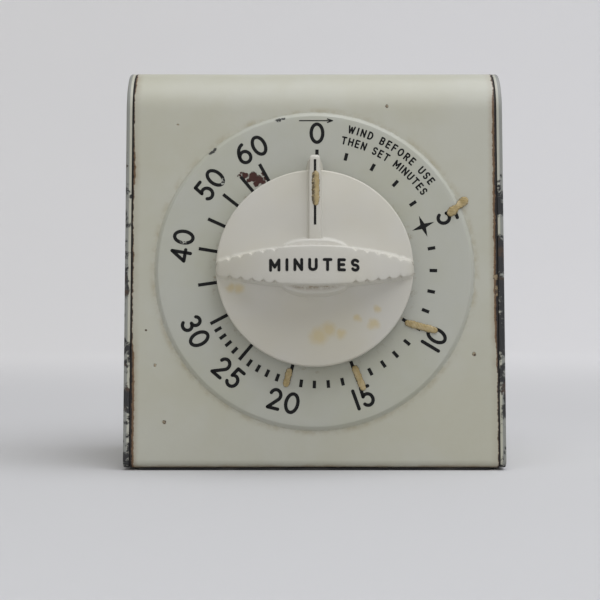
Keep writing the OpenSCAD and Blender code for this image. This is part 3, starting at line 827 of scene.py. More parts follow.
# Each character's width and centre lines, in units of the centre lines' height
GLYPHS = {
    " ": (0.30, []),
    "0": (0.63, [arc((0.315, 0.5), (0.315, 0.5), 90, 450, 40)]),
    "1": (0.0, [[(0, 1), (0, 0)]]),
    "2": (0.56, [arc((0.28, 0.71), (0.27, 0.29), 165, -38, 16) + [(0, 0), (0.56, 0)]]),
    "3": (
        0.52,
        [
            arc((0.25, 0.755), (0.23, 0.245), 150, -90, 16),
            arc((0.25, 0.255), (0.27, 0.255), 90, -150, 16),
        ],
    ),
    "4": (0.62, [[(0.46, 0), (0.46, 1), (0, 0.28), (0.62, 0.28)]]),
    "5": (
        0.54,
        [[(0.50, 1), (0.10, 1), (0.07, 0.53)] + arc((0.26, 0.31), (0.28, 0.31), 128, -145, 18)],
    ),
    "6": (
        0.58,
        [
            arc((0.50, 0.31), (0.50, 0.69), 98, 180, 12),
            arc((0.29, 0.31), (0.29, 0.31), 180, 540, 32),
        ],
    ),
    "B": (
        0.50,
        [
            [(0, 0), (0, 1), (0.26, 1)] + arc((0.26, 0.76), (0.20, 0.24), 90, -90, 10) + [(0, 0.52)],
            [(0.26, 0.52)] + arc((0.26, 0.26), (0.24, 0.26), 90, -90, 10) + [(0, 0)],
        ],
    ),
    "D": (0.56, [[(0, 0), (0, 1), (0.2, 1)] + arc((0.2, 0.5), (0.36, 0.5), 90, -90, 16) + [(0, 0)]]),
    "E": (0.46, [[(0.46, 1), (0, 1), (0, 0), (0.46, 0)], [(0, 0.52), (0.40, 0.52)]]),
    "F": (0.46, [[(0.46, 1), (0, 1), (0, 0)], [(0, 0.52), (0.40, 0.52)]]),
    "H": (0.56, [[(0, 0), (0, 1)], [(0.56, 0), (0.56, 1)], [(0, 0.52), (0.56, 0.52)]]),
    "I": (0.0, [[(0, 0), (0, 1)]]),
    "M": (0.70, [[(0, 0), (0, 1), (0.35, 0.30), (0.70, 1), (0.70, 0)]]),
    "N": (0.56, [[(0, 0), (0, 1), (0.56, 0), (0.56, 1)]]),
    "O": (0.64, [arc((0.32, 0.5), (0.32, 0.5), 90, 450, 36)]),
    "R": (
        0.50,
        [
            [(0, 0), (0, 1), (0.26, 1)] + arc((0.26, 0.75), (0.22, 0.25), 90, -90, 10) + [(0, 0.50)],
            [(0.24, 0.50), (0.50, 0)],
        ],
    ),
    "S": (
        0.48,
        [arc((0.24, 0.75), (0.24, 0.25), 30, 270, 16) + arc((0.24, 0.25), (0.24, 0.25), 90, -150, 16)[1:]],
    ),
    "T": (0.56, [[(0, 1), (0.56, 1)], [(0.28, 1), (0.28, 0)]]),
    "U": (0.54, [[(0, 1), (0, 0.27)] + arc((0.27, 0.27), (0.27, 0.27), 180, 360, 14) + [(0.54, 1)]]),
    "W": (0.84, [[(0, 1), (0.21, 0), (0.42, 0.86), (0.63, 0), (0.84, 1)]]),
}


def spell(text, height, stroke, gap, lay, spread=1):
    """Strips that spell a text, its middle at (0, 0), laid by lay(along, up, top)"""
    scale = height - stroke
    widths = [GLYPHS[letter][0] * scale * spread + stroke for letter in text]
    at = -(sum(widths) + gap * (len(text) - 1)) / 2
    shells = []
    for letter, width in zip(text, widths):
        for line in GLYPHS[letter][1]:
            path = [(at + stroke / 2 + x * scale * spread, (y - 0.5) * scale) for x, y in line]
            for part in split_at_corners(path):
                shells.append(strip(part, stroke, lay, pitch=0.25 * MM))
        at += width + gap
    return shells


def turn_of(minute):
    """Turn of a minute's mark, smooth between the five-minute marks"""
    marks = [-78, *MINUTE_TURNS, 341]
    i = min(int(minute // 5), len(MINUTE_TURNS) - 2)
    share = minute / 5 - i
    before, start, end, after = marks[i:i + 4]
    leave = (end - before) / 2
    arrive = (after - start) / 2
    return (
        start * (1 + 2 * share) * (1 - share) ** 2
        + leave * share * (1 - share) ** 2
        + end * share ** 2 * (3 - 2 * share)
        - arrive * share ** 2 * (1 - share)
    )


def ink_on_dial(sizes):
    """Lays (right, up) points from the print's centre on the dial"""

    def lay(right, up, top):
        out = sizes.rise + (sizes.ink_height if top else -0.02 * MM)
        return on_front(PRINT_CENTRE[0] + right, PRINT_CENTRE[1] + up, out)

    return lay


def turned_ink(ink, turn, reach, upright=True):
    """Lays a small figure at a turn and reach, its top outwards or, if not upright, inwards"""
    a = math.radians(turn)
    sign = 1 if upright else -1

    def lay(along, up, top):
        right = reach * math.sin(a) + sign * (along * math.cos(a) + up * math.sin(a))
        rise = reach * math.cos(a) + sign * (up * math.cos(a) - along * math.sin(a))
        return ink(right, rise, top)

    return lay


def bent_ink(ink, turn, reach):
    """Lays a line of letters along an arc of the dial, their tops outwards"""

    def lay(along, up, top):
        a = math.radians(turn) + along / reach
        return ink((reach + up) * math.sin(a), (reach + up) * math.cos(a), top)

    return lay


def star_shell(lay, reach, half_width, waist):
    """A four-pointed star"""
    outline = []
    for corner in range(8):
        a = math.radians(45 * corner)
        far = waist if corner % 2 else (reach if corner % 4 == 2 else half_width)
        outline.append((far * math.cos(a), far * math.sin(a)))
    tops = [lay(x, y, True) for x, y in outline]
    lows = [lay(x, y, False) for x, y in outline]
    points = [*tops, *lows, lay(0, 0, True), lay(0, 0, False)]
    faces = []
    for k in range(8):
        after = (k + 1) % 8
        faces.append((k, after, 16))
        faces.append((8 + after, 8 + k, 17))
        faces.append((k, 8 + k, 8 + after, after))
    return points, faces


class TIMER_OT_dial_print(bpy.types.Operator):
    """Prints the minute marks, numerals, star, arrow and instruction on the dial"""

    bl_idname = "timer.dial_print"
    bl_label = "Dial print"

    def execute(self, context):
        sizes = context.scene.timer_dial
        ink = ink_on_dial(sizes)
        finish = print_ink("dial_ink", sizes, flaked=True)
        marks = []
        mark_end = 30.55 * MM
        mark_width = 0.85 * MM
        for minute in [*range(0, 31), *range(35, 61, 5)]:
            if minute == 5:
                continue
            long_mark = minute % 5 == 0 and minute > 0
            start = (25.2 if long_mark else 28.6) * MM
            lay = turned_ink(ink, turn_of(minute), 0)
            marks.append(strip([(0, start), (0, mark_end)], mark_width, lay, round_ends=False))
        star_at = turned_ink(ink, MINUTE_TURNS[1], 29.1 * MM)
        marks.append(star_shell(star_at, reach=3.1 * MM, half_width=2.9 * MM, waist=0.8 * MM))
        arrow_up = 38.05 * MM
        arrow_width = 0.3 * MM
        tail = -4.6 * MM
        tip = 4.0 * MM
        marks.append(strip([(tail, arrow_up), (tip, arrow_up)], arrow_width, ink, round_ends=False))
        barb = 1.3 * MM
        for side in (-1, 1):
            end = (tip - barb, arrow_up + side * 0.35 * barb)
            marks.append(strip([(tip, arrow_up), end], arrow_width, ink))
        make_piece("dial_marks", marks, finish, "root")
        numerals = []
        for value, outward in (
            (0, True), (5, True), (10, False), (15, False), (20, False), (25, False), (30, False),
            (40, True), (50, True), (60, True),
        ):
            reach = (35.7 if value == 5 else 34.8) * MM
            lay = turned_ink(ink, turn_of(value), reach, outward)
            height = sizes.numeral_height
            numerals += spell(str(value), height, sizes.numeral_stroke, 0.75 * MM, lay)
        make_piece("dial_numerals", numerals, finish, "root")
        letters = []
        for text, reach, gap in (("WIND BEFORE USE", 36.75, 0.55), ("THEN SET MINUTES", 33.6, 0.42)):
            lay = bent_ink(ink, 33, reach * MM)
            letters += spell(text, sizes.letter_height, sizes.letter_stroke, gap * MM, lay)
        make_piece("dial_instruction", letters, finish, "root")
        return {"FINISHED"}


# ---------------------------------------------------------------- glow strips


# Each strip: name, CAD node, right, up, length, width, direction in degrees, all in millimetres
GLOW_STRIPS = [
    ("glow_05", "marker_05", 36.6, 16.3, 6.9, 2.3, 42),
    ("glow_10", "marker_10", 27.0, -14.5, 8.6, 1.9, -15),
    ("glow_15", "marker_15", 11.2, -27.5, 6.8, 1.8, -68),
    ("glow_20", "marker_20", -6.8, -27.4, 4.9, 1.7, -104),
]


def dial_level(dial, right, up):
    """Height of the dial, or of the sheet beside it"""
    reach = math.hypot(right, up)
    return dial.rise * (1 - smooth_step(reach, dial.radius - dial.bevel, dial.radius + 0.4 * MM))


def glow_shell(strip_length, width, height, lobed, seed, lay):
    """A crumbly strip of paste: rounded section, ragged outline, uneven top"""

    def uneven(along, across):
        first = math.sin(along * 3.1 + seed) + math.sin(along * 7.3 + across * 4 + 2 * seed)
        return (first + 0.7 * math.sin(along * 13.7 - across * 9 + 3 * seed)) / 2.7

    rings = []
    steps = 48
    for i in range(steps + 1):
        share = 2 * i / steps - 1
        along = share * strip_length / 2
        taper = (1 - abs(share) ** 7) ** 0.5 if abs(share) < 1 else 0.05
        waist = 1 - lobed * math.exp(-((share / 0.2) ** 2))
        half = width / 2 * max(0.12, taper * waist)
        ring = []
        for k in range(11):
            across = 1 - 2 * k / 10
            ragged = 1 + 0.16 * uneven(along / MM, 3 if across > 0 else -3)
            dome = (1 - abs(across) ** 4) ** 0.5 if abs(across) < 1 else 0
            lumpy = 0.85 + 0.22 * uneven(along / MM, across * 2)
            rise = height * lumpy * dome * min(1, 0.25 + taper)
            ring.append(lay(along, across * half * ragged, max(rise, 0.02 * MM)))
        for across in (-0.9, -0.3, 0.3, 0.9):
            ring.append(lay(along, across * half, -0.05 * MM))
        rings.append(ring)
    return tube(rings)


class TIMER_OT_glow_strips(bpy.types.Operator):
    """Lays the crumbled glow paste on the dial and along the pointer"""

    bl_idname = "timer.glow_strips"
    bl_label = "Glow strips"

    def execute(self, context):
        dial = context.scene.timer_dial
        knob = context.scene.timer_knob
        finish = glow_paste(dial)

        def on_dial(right, up, rise):
            return on_front(right, up, dial_level(dial, right, up) + rise)

        # Painted shadow: a dark ring round each strip's foot on the dial.
        def outline(point):
            right, up, out = front_place(point)
            rise = out - dial_level(dial, right, up)
            return 1 - smooth_step(rise, 0.08 * MM, 0.42 * MM)

        for seed, (name, node, right, up, long, wide, turn) in enumerate(GLOW_STRIPS):
            a = math.radians(turn)

            def lay(along, across, rise, right=right, up=up, a=a):
                x = right * MM + along * math.cos(a) - across * math.sin(a)
                y = up * MM + along * math.sin(a) + across * math.cos(a)
                return on_dial(x, y, rise)

            lobed = 0.38 if node == "marker_05" else 0.06
            shell = glow_shell(long * MM, wide * MM, 0.75 * MM, lobed, seed + 1, lay)
            make_piece(name, [shell], finish, "root", [node], crease=70, grime=outline)

        # Painted shade: darkens the strip's foot and its left half, the side away from the light.
        def worn_side(point):
            right, _, out = front_place(point)
            edge = 1 - smooth_step(out - knob.pointer_height, 0.05 * MM, 0.22 * MM)
            return max(edge, 1 - smooth_step(right, -0.35 * MM, 0.35 * MM))

        strip_right = 0.2 * MM
        strip_up = 19.6 * MM

        def on_pointer(along, across, rise):
            return on_front(strip_right - across, strip_up + along, knob.pointer_height + rise)

        shell = glow_shell(8.8 * MM, 1.9 * MM, 0.32 * MM, 0.02, 9, on_pointer)
        make_piece(
            "glow_pointer",
            [shell],
            finish,
            "setting_knob",
            ["pointer_marker"],
            crease=70,
            grime=worn_side,
        )
        return {"FINISHED"}


# ---------------------------------------------------------------- knob


def disc_top(knob, right, up):
    """Height of the disc: a shallow dome that sweeps up to the grip and to the pointer"""
    edge = knob.radius - knob.rim_round
    dome = knob.rim + knob.dome - knob.dome_fall * (math.hypot(right, up) / edge) ** 4
    along = min(abs(right) / knob.grip_half_length, 1)
    from_grip = abs(up + knob.grip_drop)
    beside_grip = max(0, from_grip - grip_side(knob, along * knob.grip_half_length))
    flare = knob.flare * (0.45 if up > 0 else 1)
    to_grip = flare * (1 - along ** 2) * max(0, 1 - beside_grip / knob.flare_width) ** 2.3
    to_pointer = 0
    if up > 0:
        beside_pointer = max(0, abs(right) - 1.7 * MM)
        to_pointer = knob.pointer_flare * max(0, 1 - beside_pointer / (10 * MM)) ** 2.2
        to_pointer *= smooth_step(up, 0, 6 * MM) * (1 - 0.5 * smooth_step(up, 14 * MM, edge))
    return dome + math.hypot(to_grip, to_pointer)


def grip_top(knob, right):
    """Height of the grip's arched back"""
    drop = knob.grip_arch - math.sqrt(knob.grip_arch ** 2 - right ** 2)
    return knob.grip_height - drop


def grip_side(knob, right):
    """Half width of the grip's face"""
    drop = knob.grip_side - math.sqrt(knob.grip_side ** 2 - right ** 2)
    return knob.grip_half_width - drop


def scallop(right):
    """Depth of the finger scallops in the grip's edges"""
    first = 9.85 * MM
    pitch = 2.82 * MM
    deep = 0.6 * MM
    reach = 0.85 * MM
    nearest = min(range(5), key=lambda i: abs(abs(right) - first - i * pitch))
    off = abs(abs(right) - first - nearest * pitch)
    return deep * (1 - off / reach) if off < reach else 0


def half_section(knob, right):
    """Half of the grip's section at a place along it, as (across, out) from middle to foot"""
    tip_start = knob.grip_half_length - 1.0 * MM
    tip = min(1, max(0, (abs(right) - tip_start) / (1.02 * MM)))
    blunt = math.sqrt(1 - tip ** 2)
    side = grip_side(knob, min(abs(right), knob.grip_half_length)) - 0.7 * MM * (1 - blunt)
    ledge_share = min(1, abs(right) / knob.ledge_half_length)
    ledge = knob.ledge_out * (1 - ledge_share ** 3) ** 0.85
    shaped = smooth_step(ledge, 0, 0.8 * MM)
    inside = 0.94 * knob.radius

    def disc_level(across):
        return disc_top(knob, min(abs(right), inside), across - knob.grip_drop)

    base = disc_level(side + ledge)
    low = base - 0.9 * MM
    top = low + (grip_top(knob, right) - low) * blunt
    notch = scallop(right)
    notched = side - notch
    edge = min(0.45 * MM, 0.3 * (top - low))
    fillet = min(0.8 * MM * blunt + 0.1 * MM, 0.4 * max(top - base, 0.05 * MM))
    crown = 0.1 * MM
    section = [(notched * share, top - crown * share ** 2) for share in (0, 0.25, 0.5, 0.7)]
    section.append((notched - edge, top - crown))
    for turn in (20, 45, 70, 90):
        a = math.radians(turn)
        fall = crown + edge * (1 - math.cos(a))
        section.append((notched - edge * (1 - math.sin(a)), top - fall))
    wall_top = top - crown - edge
    foot = base + fillet
    shelf = min(knob.ledge_height, wall_top - 0.3 * MM)
    round_off = 0.7 * MM
    inner = side + 0.12 * MM
    outer = side + ledge
    stepped = [
        (inner, wall_top - 0.4 * (wall_top - shelf)),
        (inner + 0.05 * MM, shelf + 0.25 * MM),
        (inner + 0.3 * MM, shelf),
    ]
    for turn in (0, 30, 60, 90):
        a = math.radians(turn)
        stepped.append((outer - round_off * (1 - math.sin(a)), shelf - round_off * (1 - math.cos(a))))
    stepped.append((outer + 0.15 * MM, 0.5 * (shelf + foot)))
    stepped.append((outer + 0.3 * MM, foot))
    count = len(stepped)
    for k, (across, out) in enumerate(stepped):
        share = (k + 1) / count
        height = wall_top + (foot - wall_top) * share
        healed = notch * smooth_step(wall_top - height, 0.5 * MM, 2.4 * MM)
        draft = 0.3 * MM * share * (1 - tip)
        plain = notched + healed + draft
        section.append((plain + (across - plain) * shaped, height + (out - height) * shaped))
    wall_foot = section[-1][0]
    for turn in (20, 40, 60, 78, 90):
        a = math.radians(turn)
        across = wall_foot + fillet * (1 - math.cos(a))
        level = disc_level(across) if turn > 45 else base
        section.append((across, level + fillet * (1 - math.sin(a))))
    end = wall_foot + fillet + 0.3 * MM
    section.append((end, disc_level(end) - 0.06 * MM))
    section.append((end - 0.1 * MM, base - 1.3 * MM))
    return section


def grip_shell(knob):
    """The arched grip with its scalloped sides and the step that carries its middle"""
    reach = knob.grip_half_length
    places = []
    right = -reach
    while right < reach:
        places.append(right)
        fine = 9.0 * MM < abs(right) < 22.6 * MM
        right += (0.11 if fine or abs(right) > 23 * MM else 0.28) * MM
    places.append(reach)
    rings = []
    for right in places:
        half = half_section(knob, right)
        drop = knob.grip_drop
        ring = [on_front(right, across - drop, out) for across, out in reversed(half)]
        ring += [on_front(right, -across - drop, out) for across, out in half[1:]]
        rings.append(ring)
    return tube(rings)


def pointer_top(knob, up):
    """Height of the pointer's flat top"""
    level = disc_top(knob, 0, min(up, 0.93 * knob.radius))
    return max(knob.pointer_height, level + 0.3 * MM)


def pointer_shell(knob):
    """The ridge from the grip over the disc's edge, with drafted sides and a rounded tip"""
    top_half = 1.45 * MM
    rim_half = 2.25 * MM
    under = knob.low + 0.9 * MM
    soft = 0.25 * MM
    rings = []
    ups = [3 + 0.5 * i for i in range(46)] + [26 + 0.15 * i for i in range(15)]
    for up in (value * MM for value in ups):
        if up > knob.pointer_reach:
            break
        tip = max(0, (up - (knob.pointer_reach - 1.1 * MM)) / (1.1 * MM))
        narrow = math.sqrt(max(0, 1 - (0.9 * tip) ** 2))
        level = disc_top(knob, 0, min(up, 0.93 * knob.radius))
        over = smooth_step(up, 23.4 * MM, 24.7 * MM)
        top = pointer_top(knob, up) - 0.9 * MM * (1 - narrow)
        foot = level + (under - level) * over
        taper = 1 - 0.22 * smooth_step(up, knob.radius, knob.pointer_reach)
        half_top = top_half * (0.35 + 0.65 * narrow) * (1 - 0.12 * over)
        half_foot = top_half + 0.25 * MM + (rim_half - top_half - 0.25 * MM) * over
        half_foot *= taper * (0.45 + 0.55 * narrow)
        fillet = 0.35 * MM * (1 - over) + 0.1 * MM
        half = [(0, top), (half_top - soft, top)]
        for turn in (30, 60, 90):
            a = math.radians(turn)
            half.append((half_top - soft * (1 - math.sin(a)), top - soft * (1 - math.cos(a))))
        start = top - soft
        for share in (0.35, 0.7, 1):
            fall = (start - foot - fillet) * share
            half.append((half_top + (half_foot - half_top) * share, start - fall))
        for turn in (30, 60, 90):
            a = math.radians(turn)
            outwards = fillet * (1 - math.cos(a)) * (1 - 2 * over)
            half.append((half_foot + outwards, foot + fillet * (1 - math.sin(a))))
        half.append((half[-1][0], foot - 1.0 * MM * (1 - over) - 0.01 * MM))
        ring = [on_front(across, up, out) for across, out in reversed(half)]
        ring += [on_front(-across, up, out) for across, out in half[1:]]
        rings.append(ring)
    return tube(rings)


def disc_shell(knob):
    """The hollow disc: its swept-up top, rounded rim, underside and hub"""
    bore = 2.03 * MM
    edge = knob.radius - knob.rim_round
    inside = knob.radius - knob.wall
    ceiling = knob.rim - knob.wall
    under = [(knob.radius, knob.low + 0.5 * MM)]
    under += arc((knob.radius - 0.4 * MM, knob.low + 0.4 * MM), 0.4 * MM, -20, -90, 4)
    under += [(inside, knob.low), (inside, ceiling), (knob.hub, ceiling), (knob.hub, knob.low)]
    under.append((bore, knob.low))
    steps = 288
    tops = 56
    rings = []
    for i in range(steps):
        turn = 2 * math.pi * i / steps
        across = math.sin(turn)
        along = math.cos(turn)
        profile = []
        for k in range(tops + 1):
            reach = bore + (edge - bore) * k / tops
            profile.append((reach, disc_top(knob, reach * across, reach * along)))
        level = profile[-1][1]
        profile += arc((edge, level - knob.rim_round), knob.rim_round, 80, 0, 8)
        profile += under
        rings.append([on_front(reach * across, reach * along, out) for reach, out in profile])
    return tube(rings, wrap=True)


def front_place(point):
    """Right, up and out of a point, from the dial's centre"""
    away = Vector(point) - DIAL_CENTRE
    return away.dot(RIGHT), away.dot(UP), -away.dot(INWARD)


def knob_grime(knob):
    """How much dirt has gathered at a place on the knob: lower scallops, under the face, the rim"""

    def grime(point):
        right, up, out = front_place(point)
        up += knob.grip_drop
        side = grip_side(knob, min(abs(right), knob.grip_half_length))
        below_face = grip_top(knob, min(abs(right), knob.grip_half_length)) - out
        in_notch = smooth_step(scallop(right), 0.15 * MM, 0.4 * MM) * (up < 0)
        in_notch *= smooth_step(below_face, 0.2 * MM, 0.5 * MM)
        in_notch *= 1 - smooth_step(below_face, 0.9 * MM, 1.5 * MM)
        in_notch *= 1 - smooth_step(abs(abs(up) - side), 0.4 * MM, 0.8 * MM)
        line = 1 - smooth_step(abs(out - knob.ledge_height - 0.1 * MM), 0.1 * MM, 0.35 * MM)
        line *= 1 - smooth_step(abs(abs(up) - side - 0.25 * MM), 0.15 * MM, 0.35 * MM)
        line *= (0.9 if up < 0 else 0.2) * (1 - smooth_step(abs(right), 4 * MM, 7.5 * MM))
        reach = math.hypot(right, up)
        rim = smooth_step(reach, 24.6 * MM, 24.8 * MM) * (1 - smooth_step(out, 2.2 * MM, 3.4 * MM))
        return max(0.7 * in_notch, line, 0.5 * rim)

    return grime


class TIMER_OT_setting_knob(bpy.types.Operator):
    """Moulds the setting knob: a hollow disc, an arched grip and a pointer"""

    bl_idname = "timer.setting_knob"
    bl_label = "Setting knob"

    def execute(self, context):
        knob = context.scene.timer_knob
        shells = [disc_shell(knob), grip_shell(knob), pointer_shell(knob)]
        make_piece(
            "knob_moulding",
            shells,
            knob_plastic(knob),
            "setting_knob",
            ["knob"],
            crease=50,
            grime=knob_grime(knob),
        )
        return {"FINISHED"}


class TIMER_OT_knob_print(bpy.types.Operator):
    """Fills the letters on the grip and the line along the pointer with black"""

    bl_idname = "timer.knob_print"
    bl_label = "Knob print"

    def execute(self, context):
        knob = context.scene.timer_knob
        finish = print_ink("knob_ink", context.scene.timer_dial, flaked=False)

        def on_grip(along, up, top):
            right = along - 0.2 * MM
            out = grip_top(knob, right) + (0.05 * MM if top else -0.15 * MM)
            return on_front(right, up - knob.grip_drop, out)

        def on_pointer(along, up, top):
            return on_front(along, up, pointer_top(knob, up) + (0.02 * MM if top else -0.15 * MM))

        height = knob.lettering_height
        letters = spell("MINUTES", height, knob.lettering_stroke, 1.2 * MM, on_grip, spread=1.2)
        make_piece("knob_lettering", letters, finish, "setting_knob")
        line = [(0.05 * MM, 10.4 * MM), (0.05 * MM, 26.9 * MM)]
        pointer = [strip(line, 0.62 * MM, on_pointer, round_ends=False)]
        make_piece("pointer_line", pointer, finish, "setting_knob")
        return {"FINISHED"}


# ---------------------------------------------------------------- finishes

# Marks in the enamel and on the knob: (right, up, out, radius) in millimetres on the front
CASE_CHIPS = [
    (18.7, 42.5, 0, 0.5),
    (-40.5, -24.2, 0, 0.45),
    (-38.1, -38.6, 0, 0.6),
    (40.4, -21.4, 0, 0.6),
    (-35.1, 37.6, 0, 0.3),
    (-42.8, -15.3, 0, 0.3),
    (46.3, -1.8, 0, 0.9),
    (46.5, -4.6, 0, 0.8),
    (46.6, -6.0, 0, 0.7),
]
DIAL_CHIPS = [
    (-17.8, 24.3, 1, 0.9),
    (-15.7, 24.0, 1, 1.3),
    (-14.2, 23.2, 1, 1.2),
    (-12.4, 23.5, 1, 0.7),
    (-18.9, 25.0, 1, 0.4),
    (-14.9, 22.2, 1, 0.9),
    (-13.1, 24.7, 1, 0.6),
    (-16.8, 23.0, 1, 0.7),
    (-13.0, 22.3, 1, 0.8),
    (-19.3, 24.2, 1, 0.5),
]
RIM_CHIPS = [
    (-26.5, 30.3, 0.7, 0.9),
    (-25.6, 31.0, 0.7, 0.8),
    (-9.6, 38.6, 0.9, 0.5),
    (-8.8, 38.8, 0.9, 0.55),
    (-8.0, 39.0, 0.9, 0.45),
]
PRINT_FLAKES = [(-33.3, 7.6, 1, 1.3), (-23.4, 22.6, 1, 1.2), (-30.0, 14.1, 1, 1.6)]
KNOB_STAINS = [
    (-21.0, -5.3, 7.2, 1.9),
    (-18.8, -5.2, 7.2, 2.0),
    (1.0, -17.3, 7.2, 3.2),
    (3.4, -15.6, 7.2, 2.6),
    (6.6, -16.6, 7.2, 1.9),
    (14.6, -14.2, 6.9, 2.1),
    (10.6, -12.9, 7.2, 1.5),
    (15.6, -10.6, 7.0, 1.4),
]


def aged_enamel(finish, paint, yellowed):
    """Colour of old enamel: cloudy yellowing under a fine mottle"""
    clouds = finish.noise(30 * MM, detail=4, rough=0.6)
    mottle = finish.noise(1.8 * MM, detail=2)
    share = finish.rise(clouds, 0.36, 0.66) * 0.75 + (mottle - 0.5) * 0.3
    return finish.mix(share, paint, yellowed)


def enamel_bump(finish, chips):
    """Soft orange peel with the chips sunk into it"""
    peel = finish.noise(1.1 * MM, detail=1)
    swell = finish.noise(7 * MM, detail=2)
    return finish.bump(peel * 0.012 + swell * 0.05 - chips * 0.16)


def case_enamel(sizes):
    finish = Finish("case_enamel")
    tint = aged_enamel(finish, sizes.paint, sizes.paint_yellowed)
    depth = finish.along(INWARD, DIAL_CENTRE)
    front = finish.rise(depth, 3 * MM, 1.5 * MM)
    reach = finish.from_axis()
    blotchy = finish.noise(4.5 * MM, detail=4, rough=0.7)
    ring = finish.rise(reach, 42.6 * MM, 41.1 * MM) * front * finish.rise(blotchy, 0.38, 0.68)
    tint = finish.mix(ring * 0.55, tint, (0.36, 0.31, 0.19))
    height = finish.along((0, 0, 1))
    foot = finish.rise(height - blotchy * (1.6 * MM), 0.9 * MM, -0.3 * MM)
    tint = finish.mix(foot * 0.7, tint, sizes.rust)
    side = abs(finish.along((1, 0, 0)))
    half = CASE_HIGH.x
    patches = finish.noise(14 * MM, detail=3, rough=0.6)
    right = finish.rise(finish.along((1, 0, 0)), 0, MM)
    high = finish.rise(height, 25 * MM, 60 * MM) * finish.rise(height, 98 * MM, 93 * MM)
    low = finish.rise(height, 32 * MM, 4 * MM)
    strength = finish.rise(patches + (high * right).most(low * (1 - right)) * 0.3, 0.42, 0.68)
    fine = finish.noise(1.2 * MM, detail=4, rough=0.7)
    margin = half - side - (fine - 0.5) * (1.1 * MM)
    stain = finish.rise(margin, 2.6 * MM, 0.4 * MM) * (0.15 + strength * 0.35)
    tint = finish.mix(stain, tint, sizes.rust)
    rusted = finish.rise(margin - strength * (0.55 * MM), 0.55 * MM, 0.43 * MM)
    tint = finish.mix(rusted * 0.9, tint, sizes.rust_dark)
    # Painted shade: a near-black line along the sheet's cut edges stands for the shadow in the seam beside the
    # covers, drawn ragged with the rust.
    edge = finish.rise(margin - strength * (0.15 * MM), 0.42 * MM, 0.32 * MM)
    tint = finish.mix(edge, tint, (0.016, 0.012, 0.010))
    specks = finish.specks(9 * MM, 0.22 * MM, 0.35, seed=0.31)
    tint = finish.mix(specks * 0.7, tint, (0.20, 0.15, 0.10))
    chips = finish.blots(CASE_CHIPS, 0.35, finish.ragged(0.9 * MM, 0.7 * MM))
    tint = finish.mix(chips * 0.75, tint, (0.30, 0.23, 0.13))
    pitted = finish.rise(finish.noise(0.55 * MM, detail=2), 0.44, 0.54)
    tint = finish.mix(chips * pitted, tint, sizes.chip)
    rough = finish.gloss(0.36) + chips.most(edge) * 0.3
    return finish.close(
        **{"Base Color": tint, "Roughness": rough, "Normal": enamel_bump(finish, chips.most(edge))}
    )


def cover_enamel(sizes):
    finish = Finish("cover_enamel")
    tint = aged_enamel(finish, sizes.paint, sizes.paint_yellowed)
    # The mask holds wear along the outline (up to 1) and painted shade on the inner wall in the gap (2).
    rim = finish.grime()
    ragged = finish.noise(2.2 * MM, detail=5, rough=0.7)
    patches = finish.noise(13 * MM, detail=2, rough=0.5)
    low = finish.rise(finish.along((0, 0, 1)), 95 * MM, 30 * MM) * 0.16
    wear = patches + ragged * 0.6 + rim.least(1) * 0.35 + low
    worn = finish.rise(wear, 1.27, 1.33) * finish.rise(rim, 0.15, 0.55)
    # The outer part of the rim is painted grey: partly dirt, partly painted shade where the rounded edge turns
    # away from the light.
    outside = finish.rise(abs(finish.along((1, 0, 0))), COVER_HIGH.x - 1.0 * MM, COVER_HIGH.x - 0.8 * MM)
    outer_shade_and_dirt = finish.rise(rim, 0.3, 0.9) * outside * 0.7
    tint = finish.mix(outer_shade_and_dirt, tint, (0.17, 0.18, 0.18))
    tint = finish.mix(worn, tint, (0.03, 0.03, 0.03))
    rusty = worn * finish.rise(finish.noise(5 * MM, detail=3), 0.56, 0.66)
    tint = finish.mix(rusty, tint, sizes.chip)
    # Painted shade: the rim's inner wall beside the sheet is painted near-black to stand for the shadow in the
    # gap.
    gap = finish.rise(rim, 1.4, 1.8)
    tint = finish.mix(gap, tint, (0.012, 0.010, 0.009))
    rough = finish.gloss(0.36) + worn.most(gap) * 0.3
    return finish.close(
        **{"Base Color": tint, "Roughness": rough, "Normal": enamel_bump(finish, worn)}
    )


def dial_enamel(sizes):
    finish = Finish("dial_enamel")
    warm = tuple(part * share for part, share in zip(sizes.paint, (0.96, 0.955, 0.87)))
    tint = aged_enamel(finish, sizes.paint, warm)
    reach = finish.from_axis()
    crumbs = finish.noise(1.3 * MM, detail=4, rough=0.7)
    near_knob = finish.rise(reach, 27.2 * MM, 25.2 * MM) * finish.rise(crumbs, 0.56, 0.70)
    tint = finish.mix(near_knob * 0.6, tint, (0.26, 0.19, 0.10))
    rim_dirt = finish.rise(reach, 40.3 * MM, 40.9 * MM) * finish.rise(crumbs, 0.35, 0.6)
    tint = finish.mix(rim_dirt * 0.45, tint, (0.32, 0.28, 0.18))
    specks = finish.specks(6 * MM, 0.2 * MM, 0.4, seed=0.77)
    tint = finish.mix(specks * 0.6, tint, (0.20, 0.15, 0.10))
    ragged = finish.ragged(0.9 * MM, 1.7 * MM)
    chips = finish.blots(DIAL_CHIPS, 0.2, ragged)
    tint = finish.mix(chips, tint, (0.050, 0.010, 0.005))
    bare = finish.blots(RIM_CHIPS, 0.3, ragged)
    tint = finish.mix(bare, tint, (0.045, 0.045, 0.04))
    rough = finish.gloss(0.34) + chips.most(bare) * 0.3
    return finish.close(
        **{"Base Color": tint, "Roughness": rough, "Normal": enamel_bump(finish, chips.most(bare))}
    )


def print_ink(name, sizes, flaked):
    """Black ink; where it has flaked off the enamel shows"""
    finish = Finish(name)
    fine = finish.noise(0.45 * MM, detail=3, rough=0.7)
    bare = finish.rise(finish.noise(0.8 * MM, detail=3), 0.72, 0.80) * 0.25
    if flaked:
        bare = bare.most(finish.blots(PRINT_FLAKES, 0.6) * finish.rise(fine, 0.50, 0.56))
    tint = finish.mix(bare, sizes.ink, sizes.paint)
    rough = 0.42 + fine * 0.2
    return finish.close(
        **{
            "Base Color": tint,
            "Roughness": rough,
            "Normal": finish.bump(fine * 0.03),
            "Specular IOR Level": 0.15,
        }
    )


